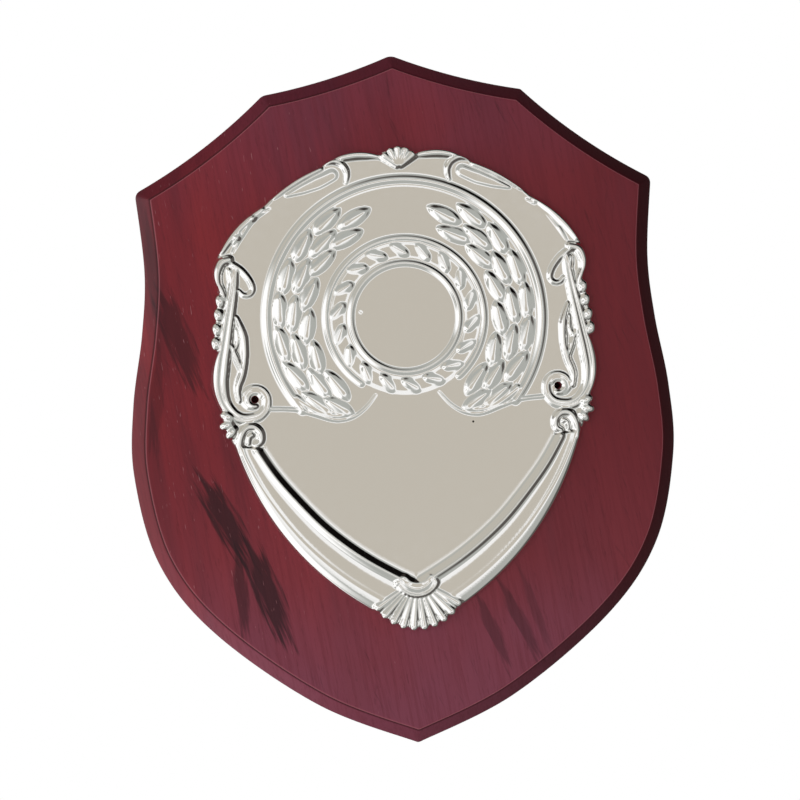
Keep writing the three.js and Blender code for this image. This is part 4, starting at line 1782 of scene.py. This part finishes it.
        # Grid points this close to an edge would make slivers with it.
        keep = relief.marks(self.slope_turn) & (depth > 0.12)
        for x, y in self.pin_marks():
            keep &= np.hypot(relief.x[None, :] - x, relief.y[:, None] - y) > radius + 0.08
        rows, columns = np.nonzero(keep)
        points = [Vector((relief.x[j], relief.y[i])) for i, j in zip(rows, columns)]
        edges = []
        for ring in [*outlines, *holes]:
            start = len(points)
            points += [Vector(p) for p in ring]
            edges += [(start + k, start + (k + 1) % len(ring)) for k in range(len(ring))]
        made = delaunay_2d_cdt(points, edges, [], 0, 1e-4)
        flat = np.array([tuple(p) for p in made[0]])
        faces = np.array(made[2])
        centres = flat[faces].mean(axis=1)
        metal = np.zeros(len(centres), bool)
        for ring in outlines:
            metal |= enclosed(ring, np.roll(ring, -1, axis=0), centres)
        for ring in holes:
            metal &= ~enclosed(ring, np.roll(ring, -1, axis=0), centres)
        used, faces = np.unique(faces[metal], return_inverse=True)
        return flat[used], wound(flat[used], faces.reshape(-1, 3), 1)

    def underside(self, flat: np.ndarray, faces: np.ndarray) -> tuple[np.ndarray, list[list[int]]]:
        """Close the pressed face with a skirt and a flat back, flared round the pin holes.

        Args:
            flat: Points of the drawing.
            faces: Triangles of the pressed face.

        Returns:
            Points of the back, and faces of skirt and back, which number those points after the drawing's.
        """
        sides = np.concatenate([faces[:, [0, 1]], faces[:, [1, 2]], faces[:, [2, 0]]])
        _, index, count = np.unique(np.sort(sides, axis=1), axis=0, return_index=True, return_counts=True)
        rim = sides[index[count == 1]]
        rim_points = np.unique(rim)
        low = flat[rim_points].copy()
        for mark in self.pin_marks():
            away = low - mark
            at_hole = np.hypot(away[:, 0], away[:, 1]) < self.pin_hole
            low[at_hole] = mark + away[at_hole] * self.hole_flare
        edges = np.searchsorted(rim_points, rim)
        pairs = [tuple(edge) for edge in edges.tolist()]
        made = delaunay_2d_cdt([Vector(p) for p in low], pairs, [], 0, 1e-5)
        given = [entry[0] if entry else -1 for entry in made[3]]
        back = np.array([[given[k] for k in face] for face in made[2]])
        back = back[(back >= 0).all(axis=1)]
        solid = enclosed(low[edges[:, 0]], low[edges[:, 1]], low[back].mean(axis=1))
        back = wound(low, back[solid], -1)
        skirt = np.column_stack([rim[:, 1], rim[:, 0], edges[:, 0] + len(flat), edges[:, 1] + len(flat)])
        return low, skirt.tolist() + (back + len(flat)).tolist()

    def stood(self, flat: np.ndarray, heights: np.ndarray) -> np.ndarray:
        """Stand drawn points up on the board.

        Args:
            flat: Points of the drawing.
            heights: Height of each above the sheet's back.

        Returns:
            Points of the scene, in millimetres.
        """
        x, y = self.tilted(flat[:, 0], flat[:, 1] - self.middle)
        return np.stack([self.shift + x, -(self.stand_off + heights), self.middle + y], axis=1)

    def build(self) -> bpy.types.Object:
        """Build and dress the front.

        Returns:
            The finished front.
        """
        silver = self.finish.material()
        relief, depth = self.relief(PressTool(), silver)
        flat, faces = self.plan(relief, depth)
        low, closing = self.underside(flat, faces)
        heights = relief.sample(relief.height, flat)
        points = np.concatenate([self.stood(flat, heights), self.stood(low, np.full(len(low), -self.skirt))])
        front = mesh_object("pressed_front_silver", points, [*faces.tolist(), *closing])
        mesh = front.data
        mesh.polygons.foreach_set("use_smooth", [True] * len(mesh.polygons))
        slope_y, slope_x = np.gradient(relief.height, self.step)
        self.set_normals(mesh, -relief.sample(slope_x, flat), -relief.sample(slope_y, flat))
        mesh.materials.append(silver)
        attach(front, "root")
        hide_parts("pressed_metal_front")
        return front

    def set_normals(self, mesh: bpy.types.Mesh, lean_x: np.ndarray, lean_y: np.ndarray) -> None:
        """Give the pressed face the relief's own slopes, and leave the skirt and back plain.

        Args:
            mesh: The front's mesh.
            lean_x: How far each point of the pressed face leans across, for one straight out.
            lean_y: How far it leans up.
        """
        out = np.stack([lean_x, lean_y, np.ones(len(lean_x))], axis=1)
        out /= np.linalg.norm(out, axis=1, keepdims=True)
        x, z = self.tilted(out[:, 0], out[:, 1])
        stood = np.stack([x, -out[:, 2], z], axis=1)
        loops = np.zeros(len(mesh.loops), np.int32)
        mesh.loops.foreach_get("vertex_index", loops)
        normals = np.zeros((len(mesh.loops), 3))
        for face in mesh.polygons:
            span = slice(face.loop_start, face.loop_start + face.loop_total)
            corners = loops[span]
            pressed = (corners < len(lean_x)).all()
            normals[span] = stood[corners] if pressed else face.normal
        mesh.normals_split_custom_set(normals.tolist())


# Studio


@dataclass(frozen=True)
class Glow:
    """A round patch of the light tent.

    Attributes:
        across: Degrees to the right of straight out from the plaque.
        up: Degrees above it.
        radius: Half angle of the patch.
        feather: Degrees over which its edge fades.
        tone: sRGB colour of the patch.
        power: Its strength.
    """

    across: float
    up: float
    radius: float
    feather: float
    tone: str
    power: float

    def direction(self) -> tuple[float, float, float]:
        """Return the direction from the plaque to the middle of the patch."""
        a, e = math.radians(self.across), math.radians(self.up)
        return (math.sin(a) * math.cos(e), -math.cos(a) * math.cos(e), math.sin(e))


@dataclass
class LightTent:
    """A soft white tent round the plaque: dim behind and above, open in front where the camera stands."""

    dim: str = "5a5653"
    glows: tuple[Glow, ...] = (
        # light on the back
        Glow(180, 0, 50, 24, "e4e4e2", 1.0),
        # grey that the gentle slopes mirror
        Glow(-6, -6, 54, 10, "b3b5b1", 1.0),
        Glow(-52, 42, 25, 12, "c2beb4", 1.0),
        # bright side that the steep slopes mirror
        Glow(-92, -22, 42, 18, "ffffff", 1.2),
        # dark patches, for the dark slopes of forms that lean up and to the right
        Glow(57, 44, 22, 7, "0c0a09", 1.0),
        Glow(26, 68, 17, 8, "2c2825", 1.0),
        # a window on the left with two grey bands, which keep the metal's form seen from the side
        Glow(-46, -13, 31, 10, "ffffff", 1.2),
        Glow(-34, -9, 7.5, 7, "b6b7b2", 1.0),
        Glow(-60, -18, 9, 9, "a9aaa5", 1.0),
        # white round the grey that the flats mirror
        Glow(2, 0, 21.5, 6, "fdfdfd", 1.0),
        Glow(-11, 12.5, 6, 4, "c6c3ba", 1.0),
        Glow(4, 1, 10.5, 4, "c7c1b6", 1.0),
    )

    def build(self) -> None:
        """Light the scene from all round, with plain white behind the plaque."""
        world = bpy.data.worlds.new("light_tent")
        bpy.context.scene.world = world
        world.use_nodes = True
        tree = world.node_tree
        tree.nodes.clear()
        way = add_node(tree, "ShaderNodeTexCoord").outputs["Generated"]
        colour: Any = linear(self.dim)
        for glow in self.glows:
            toward = add_node(
                tree, "ShaderNodeVectorMath", {0: way, 1: glow.direction()}, operation="DOT_PRODUCT"
            ).outputs["Value"]
            angle = add_node(tree, "ShaderNodeMath", {0: toward}, operation="ARCCOSINE").outputs[0]
            share = add_node(
                tree,
                "ShaderNodeMapRange",
                {
                    "Value": angle,
                    "From Min": math.radians(glow.radius + glow.feather / 2),
                    "From Max": math.radians(glow.radius - glow.feather / 2),
                },
                interpolation_type="SMOOTHSTEP",
            ).outputs["Result"]
            tone = (*(part * glow.power for part in linear(glow.tone)[:3]), 1.0)
            colour = add_node(
                tree, "ShaderNodeMix", {0: share, 6: colour, 7: tone}, data_type="RGBA"
            ).outputs[2]
        light = add_node(tree, "ShaderNodeBackground", {"Color": colour}).outputs[0]
        plain = add_node(tree, "ShaderNodeBackground", {"Color": (1, 1, 1, 1)}).outputs[0]
        seen = add_node(tree, "ShaderNodeLightPath").outputs["Is Camera Ray"]
        both = add_node(tree, "ShaderNodeMixShader", {0: seen, 1: light, 2: plain}).outputs[0]
        add_node(tree, "ShaderNodeOutputWorld", {"Surface": both})


@dataclass
class Studio:
    """Floor, light and camera, with places in millimetres and turns in degrees."""

    floor_at: float = -350.0
    floor_radius: float = 900.0
    camera_at: tuple[float, float, float] = (-25.0, -358.0, 1.55)
    pitch: float = -0.17
    yaw: float = -3.92
    roll: float = -2.355
    focal: float = 67.73
    sensor: float = 36.0
    tent: LightTent = field(default_factory=LightTent)

    def floor(self) -> bpy.types.Object:
        """Lay the pale floor well below the plaque.

        Returns:
            The floor.
        """
        sides = 96
        ring = circle((0.0, 0.0), self.floor_radius, sides)
        points = np.column_stack([ring, np.full(sides, self.floor_at)])
        laid = mesh_object("floor", points, [range(sides)])
        laid.data.materials.append(PaleFloor().material())
        laid.visible_glossy = False
        return laid

    def camera(self) -> bpy.types.Object:
        """Set the camera up in front of the plaque, a little to its left.

        Returns:
            The camera.
        """
        lens = bpy.data.cameras.new("camera")
        lens.sensor_width, lens.lens = self.sensor, self.focal
        lens.clip_start, lens.clip_end = 0.01, 20
        eye = bpy.data.objects.new("camera", lens)
        bpy.context.scene.collection.objects.link(eye)
        ahead = Quaternion((1, 0, 0), math.pi / 2)
        turn = Vector((math.radians(self.pitch), math.radians(self.yaw), math.radians(self.roll)))
        eye.rotation_mode = "QUATERNION"
        eye.rotation_quaternion = ahead @ Quaternion(turn.normalized(), turn.length)
        eye.location = Vector(self.camera_at) * MM
        bpy.context.scene.camera = eye
        return eye

    def build(self) -> None:
        """Set up the studio."""
        self.tent.build()
        self.floor()
        self.camera()
        bpy.context.scene.view_settings.view_transform = "Standard"


def main() -> None:
    """Build the plaque and the studio, and note the size of both models."""
    logging.basicConfig(level=logging.INFO, format="%(message)s")
    Studio().build()
    front = PressedFront()
    board = ShieldBoard().build(front.pins())
    LOG.info("%s: %d faces", board.name, len(board.data.polygons))
    silver = front.build()
    LOG.info("%s: %d faces", silver.name, len(silver.data.polygons))
    bpy.context.view_layer.update()


if __name__ == "__main__":
    main()
